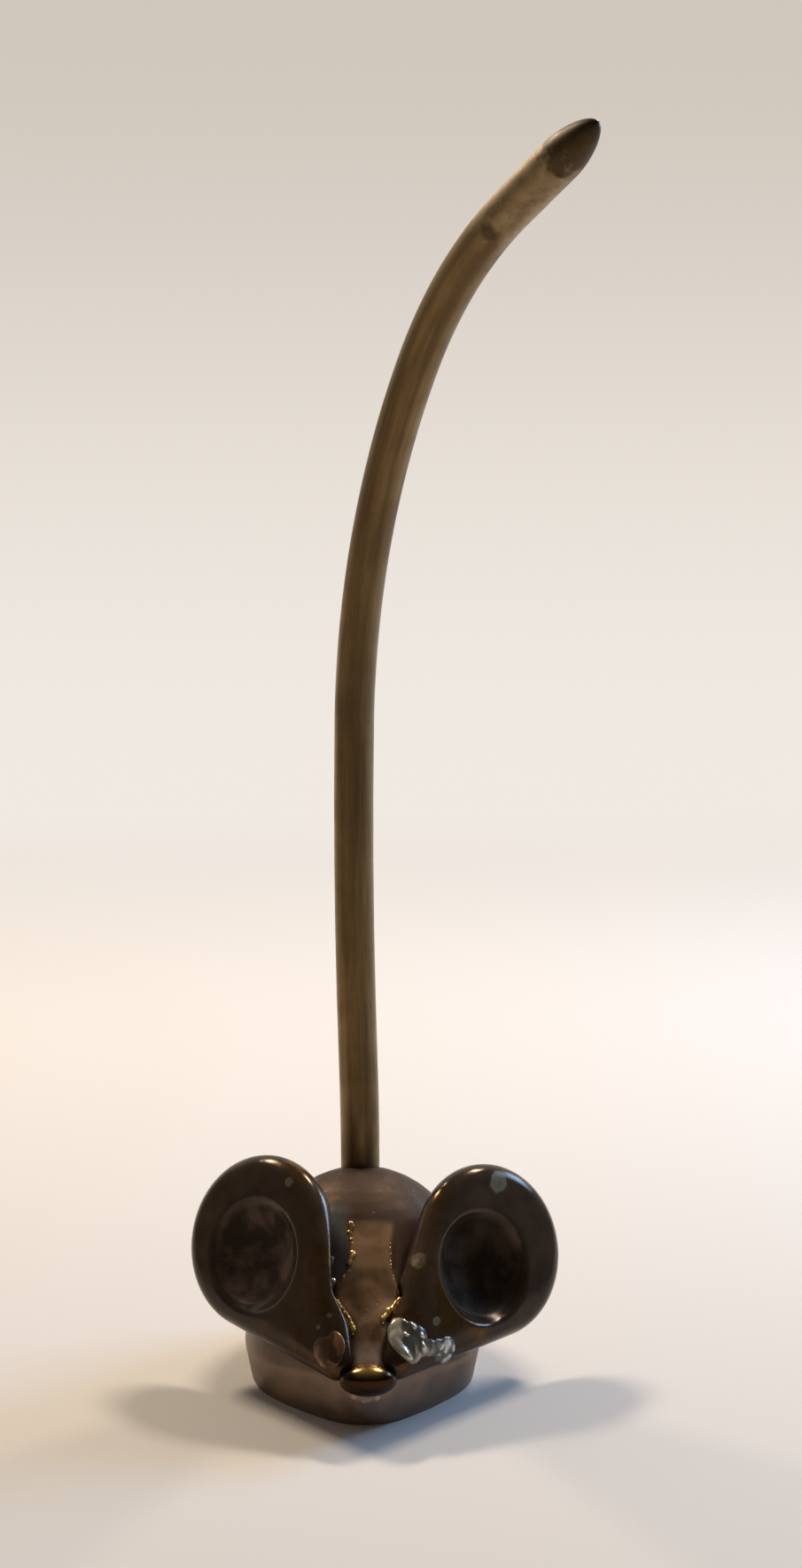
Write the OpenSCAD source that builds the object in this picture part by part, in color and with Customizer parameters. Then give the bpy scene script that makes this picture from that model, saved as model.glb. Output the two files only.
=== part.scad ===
// Bill spike: a small cast mouse whose upright tail is the spike that holds the papers.
// Millimetres. +Z is up, the mouse faces -Y, and the origin is at the middle of its foot on the table.

/* [Body] */
// Length of the flat foot, from under the chin to the rump
foot_l = 26.2; // [24:0.1:30]
// Width of the flat foot
foot_w = 22; // [19:0.1:25]
// How far the foot's widest line lies in front of the origin
foot_widest_y = 1; // [0:0.1:3]
// Radius of the foot's rounded front, under the chin
chin_r = 7.5; // [6:0.1:9]
// Radius of the foot's rounded rear, under the rump
rump_r = 10.4; // [8:0.1:11]
// Width of the body where its wall bulges most
belly_w = 23.8; // [21:0.1:26]
// Height of that bulge above the table
belly_h = 3.4; // [2:0.1:5]
// Radius of the rounded back
back_r = 10.8; // [9.5:0.1:12]
// Height of the back's highest point
back_h = 19.5; // [17.5:0.1:22]
// How far the back's highest point lies behind the origin
back_y = 3.2; // [2:0.1:5]
// Radius of the snout
snout_r = 3.2; // [2.6:0.1:4]
// How far the snout's centre lies in front of the origin
snout_y = 14; // [12.5:0.1:16]
// Height of the snout's centre
snout_h = 4.7; // [4:0.1:6]

/* [Ears] */
// Radius of an ear
ear_r = 8.6; // [7:0.1:10]
// Thickness of an ear
ear_t = 3.6; // [3:0.1:4.5]
// How far the left ear's centre lies from the middle
left_ear_x = 10.1; // [9:0.1:12]
// How far the right ear's centre lies from the middle
right_ear_x = 12.5; // [10:0.1:13.5]
// How far the ears' centres lie in front of the origin
ear_y = 2.5; // [1:0.1:4]
// Height of the left ear's centre
left_ear_h = 14.2; // [12:0.1:16]
// Height of the right ear's centre
right_ear_h = 12.9; // [11:0.1:15]
// How far the left ear is turned out to the side, in degrees
left_ear_turn = 40; // [30:1:48]
// How far the right ear is turned out to the side, in degrees
right_ear_turn = 35; // [30:1:48]
// How far the ears lean back, in degrees
ear_lean = 20; // [10:1:30]
// Radius of the dish in an ear
dish_r = 5.2; // [4:0.1:6]
// How far the dish lies below the ear's centre
dish_drop = 1.1; // [0:0.1:1.6]
// How far the left ear's dish lies inwards of the ear's centre
left_dish_in = 0.6; // [0:0.1:1.5]
// How far the right ear's dish lies inwards of the ear's centre
right_dish_in = 2.4; // [0:0.1:2.8]
// Depth of the left ear's dish
left_dish = 1.7; // [0.8:0.1:2.4]
// Depth of the right ear's dish
right_dish = 2.4; // [0.8:0.1:2.6]
// Radius of a cheek's end beside the nose
cheek_r = 1.8; // [1.4:0.1:2.4]
// How far a cheek's end lies from the middle
cheek_x = 2.7; // [2.3:0.1:3.4]
// How far a cheek's end lies in front of the snout's centre
cheek_ahead = 0.6; // [0:0.1:1.2]
// How far a cheek's end lies above the snout's centre
cheek_above = 1.9; // [1.4:0.1:2.6]

/* [Nose] */
// Width of the nose
nose_w = 5.4; // [4.4:0.1:6]
// Height of the nose
nose_h = 3.4; // [2.8:0.1:4]
// How far the nose stands out from its widest part
nose_out = 1.9; // [1.4:0.1:2.4]
// How far the nose's widest part is sunk below the snout's surface
nose_sink = 0.5; // [0.2:0.1:0.9]
// How far the nose looks up, in degrees
nose_tilt = 20; // [0:1:35]
// Diameter of the nose's shank
shank_d = 1.6; // [1:0.1:2.2]
// Length of the nose's shank inside the snout
shank_l = 3; // [2:0.1:4]

/* [Eyes] */
// Width of an eye, over its lid
eye_w = 3.8; // [3:0.1:4.4]
// Thickness of the lid round an eye
lid_t = 1; // [0.7:0.1:1.3]
// Radius of the eyeball
eyeball_r = 1.6; // [1.3:0.1:1.9]
// How far the eyeball's centre lies below the lid
eyeball_sink = 0.7; // [0.4:0.1:1]
// How far an eye lies outwards from the cheek's end
eye_out = 1.3; // [0.8:0.1:1.8]
// How far an eye lies in front of the cheek's end
eye_ahead = 0.1; // [0:0.1:0.5]
// How far the left eye lies above the cheek's end
left_eye_above = 1.9; // [1.4:0.1:2.6]
// How far the right eye lies above the cheek's end
right_eye_above = 2.3; // [1.4:0.1:2.6]
// How far an eye looks out to the side, in degrees
eye_turn = 32; // [20:1:45]
// How far an eye looks up, in degrees
eye_lean = 31; // [15:1:45]

/* [Tail] */
// Diameter of the rod
tail_d = 4; // [3:0.1:5]
// How far the rod stands behind the origin
tail_y = 6.5; // [5:0.1:8]
// Depth of the rod's socket below the back
socket_depth = 10; // [6:0.1:13]
// Which way the curl points, in degrees from +X towards the face
tail_heading = 58; // [0:1:90]
// Straight length of the rod above the back
tail_rise = 0.4; // [0.2:0.1:4]
// Radius of the slight bow away from the curl
bow_r = 180; // [120:1:400]
// How far the rod turns in the bow, in degrees
bow_turn = 3.4; // [1:0.1:5]
// Radius of the long sweep up the rod
sweep_r = 400; // [200:1:600]
// How far the rod turns in the sweep, in degrees
sweep_turn = 5; // [2:0.1:8]
// Radius of the curl
curl_r = 68; // [50:1:90]
// How far the rod turns in the curl, in degrees
curl_turn = 32; // [20:0.5:45]
// Radius of the tighter bend before the tip
hook_r = 38; // [25:1:60]
// How far the rod turns in that bend, in degrees
hook_turn = 29; // [15:0.5:45]
// Straight length after the bends, as far as the taper
tail_end_l = 7.6; // [3:0.1:15]
// Length of the tapered tip
tip_l = 5.5; // [3:0.1:8]

/* [Fits] */
// Gap all round the rod in its socket
socket_gap = 0.05; // [0.02:0.01:0.1]
// Gap under the rod's end in its socket
socket_end_gap = 0.1; // [0.05:0.01:0.3]
// Gap that the braze fills where one piece is seated on another
seam = 0.02; // [0.01:0.01:0.05]

/* [Hidden] */
LEFT = -1;
RIGHT = 1;
casting_colour = "#6b5644";
ear_colour = "#43332a";
nose_colour = "#2b1d12";
rod_colour = "#7b6745";
facets = 36;
tube_sides = 24;
degrees_per_ring = 2;
// Exponent of the tip's profile: 2 would be an ellipse, 1 a cone
tip_fullness = 1.7;
tip_steps = 12;
// Thickness of the slices that carry an outline into a rounded form
slice = 0.4;
back_z = back_h - back_r;
// Height of the back's surface where the rod comes out of it
tail_z = back_z + sqrt(back_r * back_r - (tail_y - back_y) * (tail_y - back_y));
socket_floor = tail_z - socket_depth;
// Height at which the rod starts to bend
bend_z = tail_z + tail_rise;
// The bent length is a hair slimmer than the round foot and starts inside it, so the two join cleanly
rod_r = tail_d / 2 - seam;
foot_lap = 1;
// Radius and turn of each bend up the rod; a turn below zero leans away from the curl
bends = [[bow_r, -bow_turn], [sweep_r, sweep_turn], [curl_r, curl_turn], [hook_r, hook_turn]];
// Distance from the snout's centre to the widest part of the nose
nose_seat = snout_r - nose_sink;
$fn = facets;

function cheek_end(side) = [side * cheek_x, -snout_y - cheek_ahead, snout_h + cheek_above];
function eye_place(side) =
  cheek_end(side) + [side * eye_out, -eye_ahead, side == LEFT ? left_eye_above : right_eye_above];

// A station of the rod is its place across and up in the plane of the curl, its lean from upright
// in degrees, and the rod's radius there
function along_bend(from, bend, share) =
  let (radius = bend[0] * sign(bend[1]), lean = from[2] + bend[1] * share)
  [
    from[0] + radius * (cos(from[2]) - cos(lean)),
    from[1] + radius * (sin(lean) - sin(from[2])),
    lean,
    from[3]
  ];
function bend_start(i) = i == 0 ? [0, bend_z, 0, rod_r] : along_bend(bend_start(i - 1), bends[i - 1], 1);
function straight_on(from, distance, radius) =
  [from[0] + distance * sin(from[2]), from[1] + distance * cos(from[2]), from[2], radius];
function tip_radius(share) = rod_r * pow(1 - pow(share, tip_fullness), 1 / tip_fullness);
function ring(s) = [
  for (k = [0 : tube_sides - 1])
    let (around = 360 * k / tube_sides)
    [s[0] + s[3] * cos(around) * cos(s[2]), s[3] * sin(around), s[1] - s[3] * cos(around) * sin(s[2])]
];

bent_stations = [
  for (i = [0 : len(bends) - 1])
    let (steps = ceil(abs(bends[i][1]) / degrees_per_ring))
    for (step = [1 : steps]) along_bend(bend_start(i), bends[i], step / steps)
];
tail_end = bend_start(len(bends));
// Rings crowd towards the tip, where the taper is quickest
end_stations = [
  for (step = [0 : tip_steps - 1])
    let (share = sin(90 * step / tip_steps))
    straight_on(tail_end, tail_end_l + share * tip_l, tip_radius(share))
];

// The upper half of a ball
module dome(radius) {
  rotate_extrude() intersection() {
    circle(radius);
    square(radius);
  }
}

// The whole casting as one rounded form, before its holes; grow adds an even layer
module body_form(grow = 0) {
  hull() {
    translate([0, foot_l / 2 - rump_r, 0]) cylinder(h = slice, r = rump_r + grow);
    translate([0, -foot_widest_y, 0]) cylinder(h = slice, r = foot_w / 2 + grow);
    translate([0, chin_r - foot_l / 2, 0]) cylinder(h = slice, r = chin_r + grow);
    translate([0, -foot_widest_y, belly_h]) cylinder(h = slice, r = belly_w / 2 + grow);
    translate([0, back_y, back_z]) dome(back_r + grow);
    translate([0, -snout_y, snout_h]) sphere(snout_r + grow);
  }
}

// Puts its children at an ear's centre, with +Z out of the dish and +Y up the ear
module at_ear(side) {
  place = side == LEFT ? [-left_ear_x, -ear_y, left_ear_h] : [right_ear_x, -ear_y, right_ear_h];
  turn = side == LEFT ? -left_ear_turn : right_ear_turn;
  translate(place) rotate([90 - ear_lean, 0, turn]) children();
}

module ear_disc(grow = 0) {
  edge = ear_t / 2 + grow;
  rim = ear_r - ear_t / 2;
  rotate_extrude() {
    translate([rim, 0]) circle(edge);
    translate([0, -edge]) square([rim, 2 * edge]);
  }
}

// An ear and its cheek as one plate, before its dish and its seat on the body
module ear_form(side, grow = 0) {
  hull() {
    at_ear(side) ear_disc(grow);
    translate(cheek_end(side)) sphere(cheek_r + grow);
  }
}

module ear(side, dish, inward) {
  ball = (dish_r * dish_r + dish * dish) / (2 * dish);
  color(ear_colour) difference() {
    ear_form(side);
    body_form(seam);
    nose_head(seam);
    at_ear(side) translate([-side * inward, -dish_drop, ear_t / 2 - dish + ball]) sphere(ball);
  }
}

// Puts its children at the snout's centre, with +Z out through the nose
module at_nose() {
  translate([0, -snout_y, snout_h]) rotate([90 - nose_tilt, 0, 0]) children();
}

module nose_head(grow = 0) {
  at_nose() translate([0, 0, nose_seat])
    scale([nose_w / 2 + grow, nose_h / 2 + grow, nose_out + grow]) sphere(1);
}

// The shank runs from the bottom of its bore to the middle of the nose
module nose_shank(grow = 0) {
  at_nose() translate([0, 0, nose_seat - shank_l - grow])
    cylinder(h = shank_l + grow + nose_out / 2, d = shank_d + 2 * grow);
}

module eye(side) {
  color(casting_colour) difference() {
    translate(eye_place(side)) rotate([90 - eye_lean, 0, side * eye_turn]) {
      rotate_extrude() translate([eye_w / 2 - lid_t / 2, 0]) circle(d = lid_t);
      translate([0, 0, -eyeball_sink]) sphere(eyeball_r);
    }
    body_form(seam);
    ear_form(side, seam);
    nose_head(seam);
  }
}

// A tube through a list of stations, closed at both ends
module tube(stations) {
  rings = len(stations);
  points = [for (s = stations) each ring(s)];
  walls = [
    for (i = [0 : rings - 2], k = [0 : tube_sides - 1])
      let (next = (k + 1) % tube_sides, low = i * tube_sides, high = low + tube_sides)
      [low + k, high + k, high + next, low + next]
  ];
  foot_cap = [for (k = [0 : tube_sides - 1]) k];
  tip_cap = [for (k = [0 : tube_sides - 1]) rings * tube_sides - 1 - k];
  polyhedron(points, concat(walls, [foot_cap, tip_cap]));
}

module body() {
  color(casting_colour) difference() {
    body_form();
    translate([0, tail_y, socket_floor]) cylinder(h = socket_depth + back_r, d = tail_d + 2 * socket_gap);
    nose_shank(seam);
  }
}

module left_ear() {
  ear(LEFT, left_dish, left_dish_in);
}

module right_ear() {
  ear(RIGHT, right_dish, right_dish_in);
}

module nose() {
  color(nose_colour) {
    difference() {
      nose_head();
      body_form(seam);
    }
    nose_shank();
  }
}

module left_eye() {
  eye(LEFT);
}

module right_eye() {
  eye(RIGHT);
}

module tail() {
  foot_z = socket_floor + socket_end_gap;
  color(rod_colour) translate([0, tail_y, 0]) rotate([0, 0, -tail_heading]) {
    translate([0, 0, foot_z]) cylinder(h = bend_z - foot_z, d = tail_d);
    tube(concat([[0, bend_z - foot_lap, 0, rod_r]], bent_stations, end_stations));
  }
}

body();
left_ear();
right_ear();
nose();
left_eye();
right_eye();
tail();
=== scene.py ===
"""Dresses the bill spike: a cast mouse whose upright tail is the rod that holds the papers.

Sizes are in millimetres in the row frame: +Z is up, the mouse faces -Y, and the origin is the
middle of its foot. A piece is shaped in millimetres and brought to metres when it is delivered.
"""

import logging
import math
import random
from dataclasses import dataclass
from enum import Enum
from functools import cache
from typing import Any, Callable, Sequence

import bpy
import numpy as np
from bpy.types import Material, Node, NodeSocket, NodeTree, Object
from mathutils import Matrix, Vector


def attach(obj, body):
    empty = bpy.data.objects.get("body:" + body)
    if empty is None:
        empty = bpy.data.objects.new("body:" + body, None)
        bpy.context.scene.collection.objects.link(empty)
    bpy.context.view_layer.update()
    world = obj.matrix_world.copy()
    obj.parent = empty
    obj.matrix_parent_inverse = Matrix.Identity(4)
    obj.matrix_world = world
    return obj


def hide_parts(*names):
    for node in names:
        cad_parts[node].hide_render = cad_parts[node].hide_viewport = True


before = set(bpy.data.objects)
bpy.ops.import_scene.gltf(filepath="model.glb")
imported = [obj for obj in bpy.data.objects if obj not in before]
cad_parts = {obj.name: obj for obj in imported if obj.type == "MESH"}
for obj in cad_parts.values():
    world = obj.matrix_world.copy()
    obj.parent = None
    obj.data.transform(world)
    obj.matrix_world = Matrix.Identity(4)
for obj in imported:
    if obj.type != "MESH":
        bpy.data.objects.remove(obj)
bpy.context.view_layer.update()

LOG = logging.getLogger("bill_spike")
MM = 0.001
PHOTO_SIZE = (905, 1770)

Point = tuple[float, float, float]
Colour = tuple[float, float, float]
# Down the face: the share of the way, the left and right edges, and how far the edges stand proud
Outline = tuple[tuple[float, float, float, float], ...]
LEFT_EDGE, RIGHT_EDGE, PROUD = 1, 2, 3
UP = Vector((0.0, 0.0, 1.0))


class Side(Enum):
    """The side of the mouse as the viewer faces it; the value is the sign of X."""

    LEFT = -1
    RIGHT = 1


class Group(Enum):
    """The bodies of the frame that pieces ride on."""

    MOUSE = "mouse"
    SPIKE = "spike"


class Slot(Enum):
    """The material slots of the record."""

    CASTING = "casting"
    EAR = "ear"
    NOSE = "nose"
    ROD = "rod"


class Bench:
    """Shapes meshes with operators, in millimetres, where they belong."""

    BALL_SEGMENTS = 48
    BALL_RINGS = 24
    PEBBLE_DETAIL = 2
    HOOP_SEGMENTS = 96
    WIRE_SEGMENTS = 32
    LUMP_DETAIL = 2
    SOFTENING = 0.5
    SMOOTH_BELOW = 50.0

    @staticmethod
    def clear() -> None:
        """Deselects everything, so that an operator acts only on new work."""
        bpy.ops.object.select_all(action="DESELECT")

    @staticmethod
    def pick(piece: Object) -> None:
        """Makes one piece the only selected and the active one.

        Args:
            piece: The piece.
        """
        Bench.clear()
        piece.select_set(True)
        bpy.context.view_layer.objects.active = piece

    @staticmethod
    def add(primitive: Callable[..., Any], name: str, place: Matrix, **settings: Any) -> Object:
        """Adds a primitive and puts it in its place, with the place in its mesh.

        Args:
            primitive: The operator that adds it.
            name: The new object's name.
            place: Turns, scales and moves it from the origin.
            **settings: The operator's own settings.

        Returns:
            The new object.
        """
        Bench.clear()
        primitive(**settings)
        piece = bpy.context.active_object
        piece.name = name
        piece.matrix_world = place
        bpy.ops.object.transform_apply(location=True, rotation=True, scale=True)
        return piece

    @staticmethod
    def ball(name: str, place: Matrix, radii: Point) -> Object:
        """Adds a ball, or an egg, with a radius for each of its own axes."""
        return Bench.add(
            bpy.ops.mesh.primitive_uv_sphere_add,
            name,
            place @ Matrix.Diagonal((*radii, 1.0)),
            segments=Bench.BALL_SEGMENTS,
            ring_count=Bench.BALL_RINGS,
            radius=1.0,
        )

    @staticmethod
    def round_ball(name: str, centre: Sequence[float], radius: float) -> Object:
        """Adds a round ball at a point."""
        return Bench.ball(name, Matrix.Translation(Vector(centre)), (radius, radius, radius))

    @staticmethod
    def pebble(name: str, place: Matrix, radii: Point) -> Object:
        """Adds a small ball or egg with few faces, for rounding and for beads."""
        return Bench.add(
            bpy.ops.mesh.primitive_ico_sphere_add,
            name,
            place @ Matrix.Diagonal((*radii, 1.0)),
            subdivisions=Bench.PEBBLE_DETAIL,
            radius=1.0,
        )

    @staticmethod
    def drum(name: str, place: Matrix, radius: float, height: float, sides: int = 128) -> Object:
        """Adds a round drum that stands on its own origin, along its own Z axis."""
        middle = place @ Matrix.Translation(UP * (height / 2))
        return Bench.add(
            bpy.ops.mesh.primitive_cylinder_add, name, middle, vertices=sides, radius=radius, depth=height
        )

    @staticmethod
    def hoop(name: str, place: Matrix, radius: float, thickness: float) -> Object:
        """Adds a round hoop across its own Z axis, by the radius and thickness of its wire."""
        return Bench.add(
            bpy.ops.mesh.primitive_torus_add,
            name,
            place,
            major_radius=radius,
            minor_radius=thickness / 2,
            major_segments=Bench.HOOP_SEGMENTS,
            minor_segments=Bench.WIRE_SEGMENTS,
        )

    @staticmethod
    def facing(centre: Point, turn: float, lean: float) -> Matrix:
        """Gives a frame whose +Z faces -Y, turned about the upright and leaning back, in degrees.

        Args:
            centre: Its origin.
            turn: Its turn about the upright.
            lean: How far it leans back.

        Returns:
            The frame, with +Y up.
        """
        turned = Matrix.Rotation(math.radians(turn), 4, "Z")
        leaning = Matrix.Rotation(math.radians(90.0 - lean), 4, "X")
        return Matrix.Translation(Vector(centre)) @ turned @ leaning

    @staticmethod
    def join(name: str, pieces: Sequence[Object]) -> Object:
        """Joins pieces into one mesh, with their shells left as they are.

        Args:
            name: The joined object's name.
            pieces: What is joined; the first one stays.

        Returns:
            The joined object.
        """
        Bench.pick(pieces[0])
        for piece in pieces[1:]:
            piece.select_set(True)
        if len(pieces) > 1:
            bpy.ops.object.join()
        pieces[0].name = name
        return pieces[0]

    @staticmethod
    def wrap(name: str, pieces: Sequence[Object]) -> Object:
        """Draws one tight convex skin over several pieces.

        Args:
            name: The skin's name.
            pieces: What the skin covers; none of them is kept.

        Returns:
            The skin.
        """
        skin = Bench.join(name, pieces)
        bpy.ops.object.mode_set(mode="EDIT")
        bpy.ops.mesh.select_all(action="SELECT")
        bpy.ops.mesh.convex_hull()
        bpy.ops.mesh.select_all(action="SELECT")
        bpy.ops.mesh.normals_make_consistent(inside=False)
        bpy.ops.object.mode_set(mode="OBJECT")
        return skin

    @staticmethod
    def modify(piece: Object, kind: str, **settings: Any) -> None:
        """Adds one modifier to a piece and applies it.

        Args:
            piece: The piece to change.
            kind: The modifier's type.
            **settings: The modifier's own settings.
        """
        Bench.pick(piece)
        modifier = piece.modifiers.new(kind.title(), kind)
        for setting, value in settings.items():
            setattr(modifier, setting, value)
        bpy.ops.object.modifier_apply(modifier=modifier.name)

    @staticmethod
    def fuse(name: str, pieces: Sequence[Object], grain: float) -> Object:
        """Melts overlapping pieces into one even skin.

        Args:
            name: The fused object's name.
            pieces: What is fused; none of them is kept.
            grain: The size of the skin's faces.

        Returns:
            The fused object.
        """
        fused = Bench.join(name, pieces)
        Bench.modify(fused, "REMESH", mode="VOXEL", voxel_size=grain, adaptivity=0.0)
        return fused

    @staticmethod
    def soften(piece: Object, rounds: int) -> None:
        """Rounds off the edges of an even skin."""
        Bench.modify(piece, "SMOOTH", factor=Bench.SOFTENING, iterations=rounds)

    @staticmethod
    def cut(piece: Object, tool: Object) -> None:
        """Takes one shape out of another and throws the cutting shape away."""
        Bench.modify(piece, "BOOLEAN", operation="DIFFERENCE", solver="EXACT", object=tool)
        bpy.data.objects.remove(tool)

    @staticmethod
    def crumple(piece: Object, size: float, depth: float) -> None:
        """Makes a surface uneven.

        Args:
            piece: The piece to change.
            size: The width of a lump.
            depth: How far the lumps rise and fall.
        """
        lumps = bpy.data.textures.new(f"{piece.name}_lumps", "CLOUDS")
        lumps.noise_scale = size
        lumps.noise_depth = Bench.LUMP_DETAIL
        Bench.modify(piece, "DISPLACE", texture=lumps, strength=depth, mid_level=0.5, texture_coords="LOCAL")

    @staticmethod
    def points(piece: Object, place: Matrix | None = None) -> np.ndarray:
        """Gives a mesh's points, seen from a frame of their own if one is given.

        Args:
            piece: The piece.
            place: The frame, or None for the row frame.

        Returns:
            One row of three numbers for each point.
        """
        points = np.array([vertex.co for vertex in piece.data.vertices])
        if place is None:
            return points
        inward = np.array(place.inverted())
        return points @ inward[:3, :3].T + inward[:3, 3]

    @staticmethod
    def paint(piece: Object, name: str, mask: np.ndarray) -> None:
        """Stores a mask on a mesh's points, for the finish.

        Args:
            piece: The piece.
            name: The attribute's name.
            mask: One value from 0 to 1 for each point.
        """
        attribute = piece.data.attributes.new(name, "FLOAT", "POINT")
        attribute.data.foreach_set("value", mask.astype(np.float32))

    @staticmethod
    def level(piece: Object, height: float) -> None:
        """Cuts a piece off flat at a height and closes the cut.

        Args:
            piece: The piece to change.
            height: The height of its new flat foot.
        """
        Bench.pick(piece)
        bpy.ops.object.mode_set(mode="EDIT")
        bpy.ops.mesh.select_all(action="SELECT")
        bpy.ops.mesh.bisect(
            plane_co=(0.0, 0.0, height), plane_no=(0.0, 0.0, 1.0), use_fill=True, clear_inner=True
        )
        bpy.ops.object.mode_set(mode="OBJECT")

    @staticmethod
    def deliver(piece: Object, group: Group, slot: Slot, material: Material, *nodes: str) -> None:
        """Brings a finished piece to metres, dresses it and ties it to the frame.

        Args:
            piece: The finished piece, in millimetres.
            group: The body that it rides on.
            slot: The record's slot that its finish belongs to; it is not used.
            material: Its finish.
            *nodes: The solids that it stands for.
        """
        Bench.pick(piece)
        piece.scale = (MM, MM, MM)
        bpy.ops.object.transform_apply(location=True, rotation=True, scale=True)
        bpy.ops.object.shade_smooth_by_angle(angle=math.radians(Bench.SMOOTH_BELOW))
        piece.data.materials.clear()
        piece.data.materials.append(material)
        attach(piece, group.value)
        if nodes:
            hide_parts(*nodes)
        LOG.info("%s: %d faces, rides on %s", piece.name, len(piece.data.polygons), group.value)


@dataclass(frozen=True)
class Mottle:
    """A pattern of cloudy noise: its size in millimetres, its fineness, and the range it is spread over."""

    size: float
    detail: float
    low: float
    high: float
    start: float = 0.0
    stop: float = 1.0
    rough: float = 0.55


class NodeSheet:
    """Adds shader nodes to one tree and joins them."""

    def __init__(self, tree: NodeTree) -> None:
        """Takes the tree that the nodes go into."""
        self.tree = tree

    def add(self, kind: str, inputs: dict[Any, Any] | None = None, **settings: Any) -> Node:
        """Adds one node.

        Args:
            kind: The node's type, without its ShaderNode prefix.
            inputs: What goes into its sockets, by name or number: a socket to join, or a value.
            **settings: The node's own settings.

        Returns:
            The new node.
        """
        node = self.tree.nodes.new(f"ShaderNode{kind}")
        for setting, value in settings.items():
            setattr(node, setting, value)
        for key, value in (inputs or {}).items():
            if isinstance(value, NodeSocket):
                self.tree.links.new(value, node.inputs[key])
            else:
                node.inputs[key].default_value = value
        return node

    def maths(self, operation: str, first: Any, second: Any = 0.0) -> NodeSocket:
        """Adds a sum of two numbers or sockets and returns its outcome."""
        return self.add("Math", {0: first, 1: second}, operation=operation).outputs[0]

    def times(self, first: Any, second: Any) -> NodeSocket:
        """Multiplies two numbers or sockets."""
        return self.maths("MULTIPLY", first, second)

    def mask(self, name: str) -> NodeSocket:
        """Gives a mask that a mesh carries as an attribute."""
        return self.add("Attribute", attribute_name=name).outputs["Fac"]

    def height(self, place: NodeSocket) -> NodeSocket:
        """Gives the upright part of a place."""
        return self.add("SeparateXYZ", {0: place}).outputs["Z"]

    def away(self, place: NodeSocket, centre: Any) -> NodeSocket:
        """Gives the distance of a place from a point."""
        return self.add("VectorMath", {0: place, 1: centre}, operation="DISTANCE").outputs["Value"]

    def drawn_out(self, place: NodeSocket, share: float) -> NodeSocket:
        """Shrinks a place along Z, so that a pattern on it runs long that way."""
        return self.add("VectorMath", {0: place, 1: (1.0, 1.0, share)}, operation="MULTIPLY").outputs[0]

    def effect(self, tree: NodeTree, **inputs: Any) -> Node:
        """Adds a shared effect, with what goes into its sockets."""
        return self.add("Group", inputs, node_tree=tree)

    def blend(self, share: Any, first: Any, second: Any) -> NodeSocket:
        """Mixes two colours.

        Args:
            share: How much of the second colour shows.
            first: The first colour, or its socket.
            second: The second colour, or its socket.

        Returns:
            The mixed colour's socket.
        """
        tones = [tone if isinstance(tone, NodeSocket) else (*tone, 1.0) for tone in (first, second)]
        return self.add("Mix", {0: share, 6: tones[0], 7: tones[1]}, data_type="RGBA").outputs[2]

    def step(
        self, value: NodeSocket, low: Any, high: Any, start: float = 0.0, stop: float = 1.0
    ) -> NodeSocket:
        """Maps a value smoothly from one range to another.

        Args:
            value: The value's socket.
            low: Where the change begins, or its socket.
            high: Where it ends, or its socket.
            start: The outcome below the range.
            stop: The outcome above the range.

        Returns:
            The outcome's socket.
        """
        inputs = {0: value, 1: low, 2: high, 3: start, 4: stop}
        return self.add("MapRange", inputs, interpolation_type="SMOOTHSTEP").outputs[0]

    def span(
        self, length: NodeSocket, low: float, high: float, start: float = 0.0, stop: float = 1.0
    ) -> NodeSocket:
        """Maps a length smoothly, as step does, with the range in millimetres."""
        return self.step(length, low * MM, high * MM, start, stop)

    def mottle(self, place: NodeSocket, pattern: Mottle) -> NodeSocket:
        """Adds a pattern of cloudy noise."""
        noise = self.noise(place, pattern.size, pattern.detail, pattern.rough)
        return self.step(noise, pattern.low, pattern.high, pattern.start, pattern.stop)

    def noise(self, place: NodeSocket, size: float, detail: float, rough: float) -> NodeSocket:
        """Adds cloudy noise.

        Args:
            place: The socket of the surface's coordinates.
            size: The width of a cloud, in millimetres.
            detail: How many finer layers it has.
            rough: How strong the finer layers are.

        Returns:
            The noise's socket, from 0 to 1.
        """
        inputs = {"Vector": place, "Scale": 1.0 / (size * MM), "Detail": detail, "Roughness": rough}
        return self.add("TexNoise", inputs).outputs[0]


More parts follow.
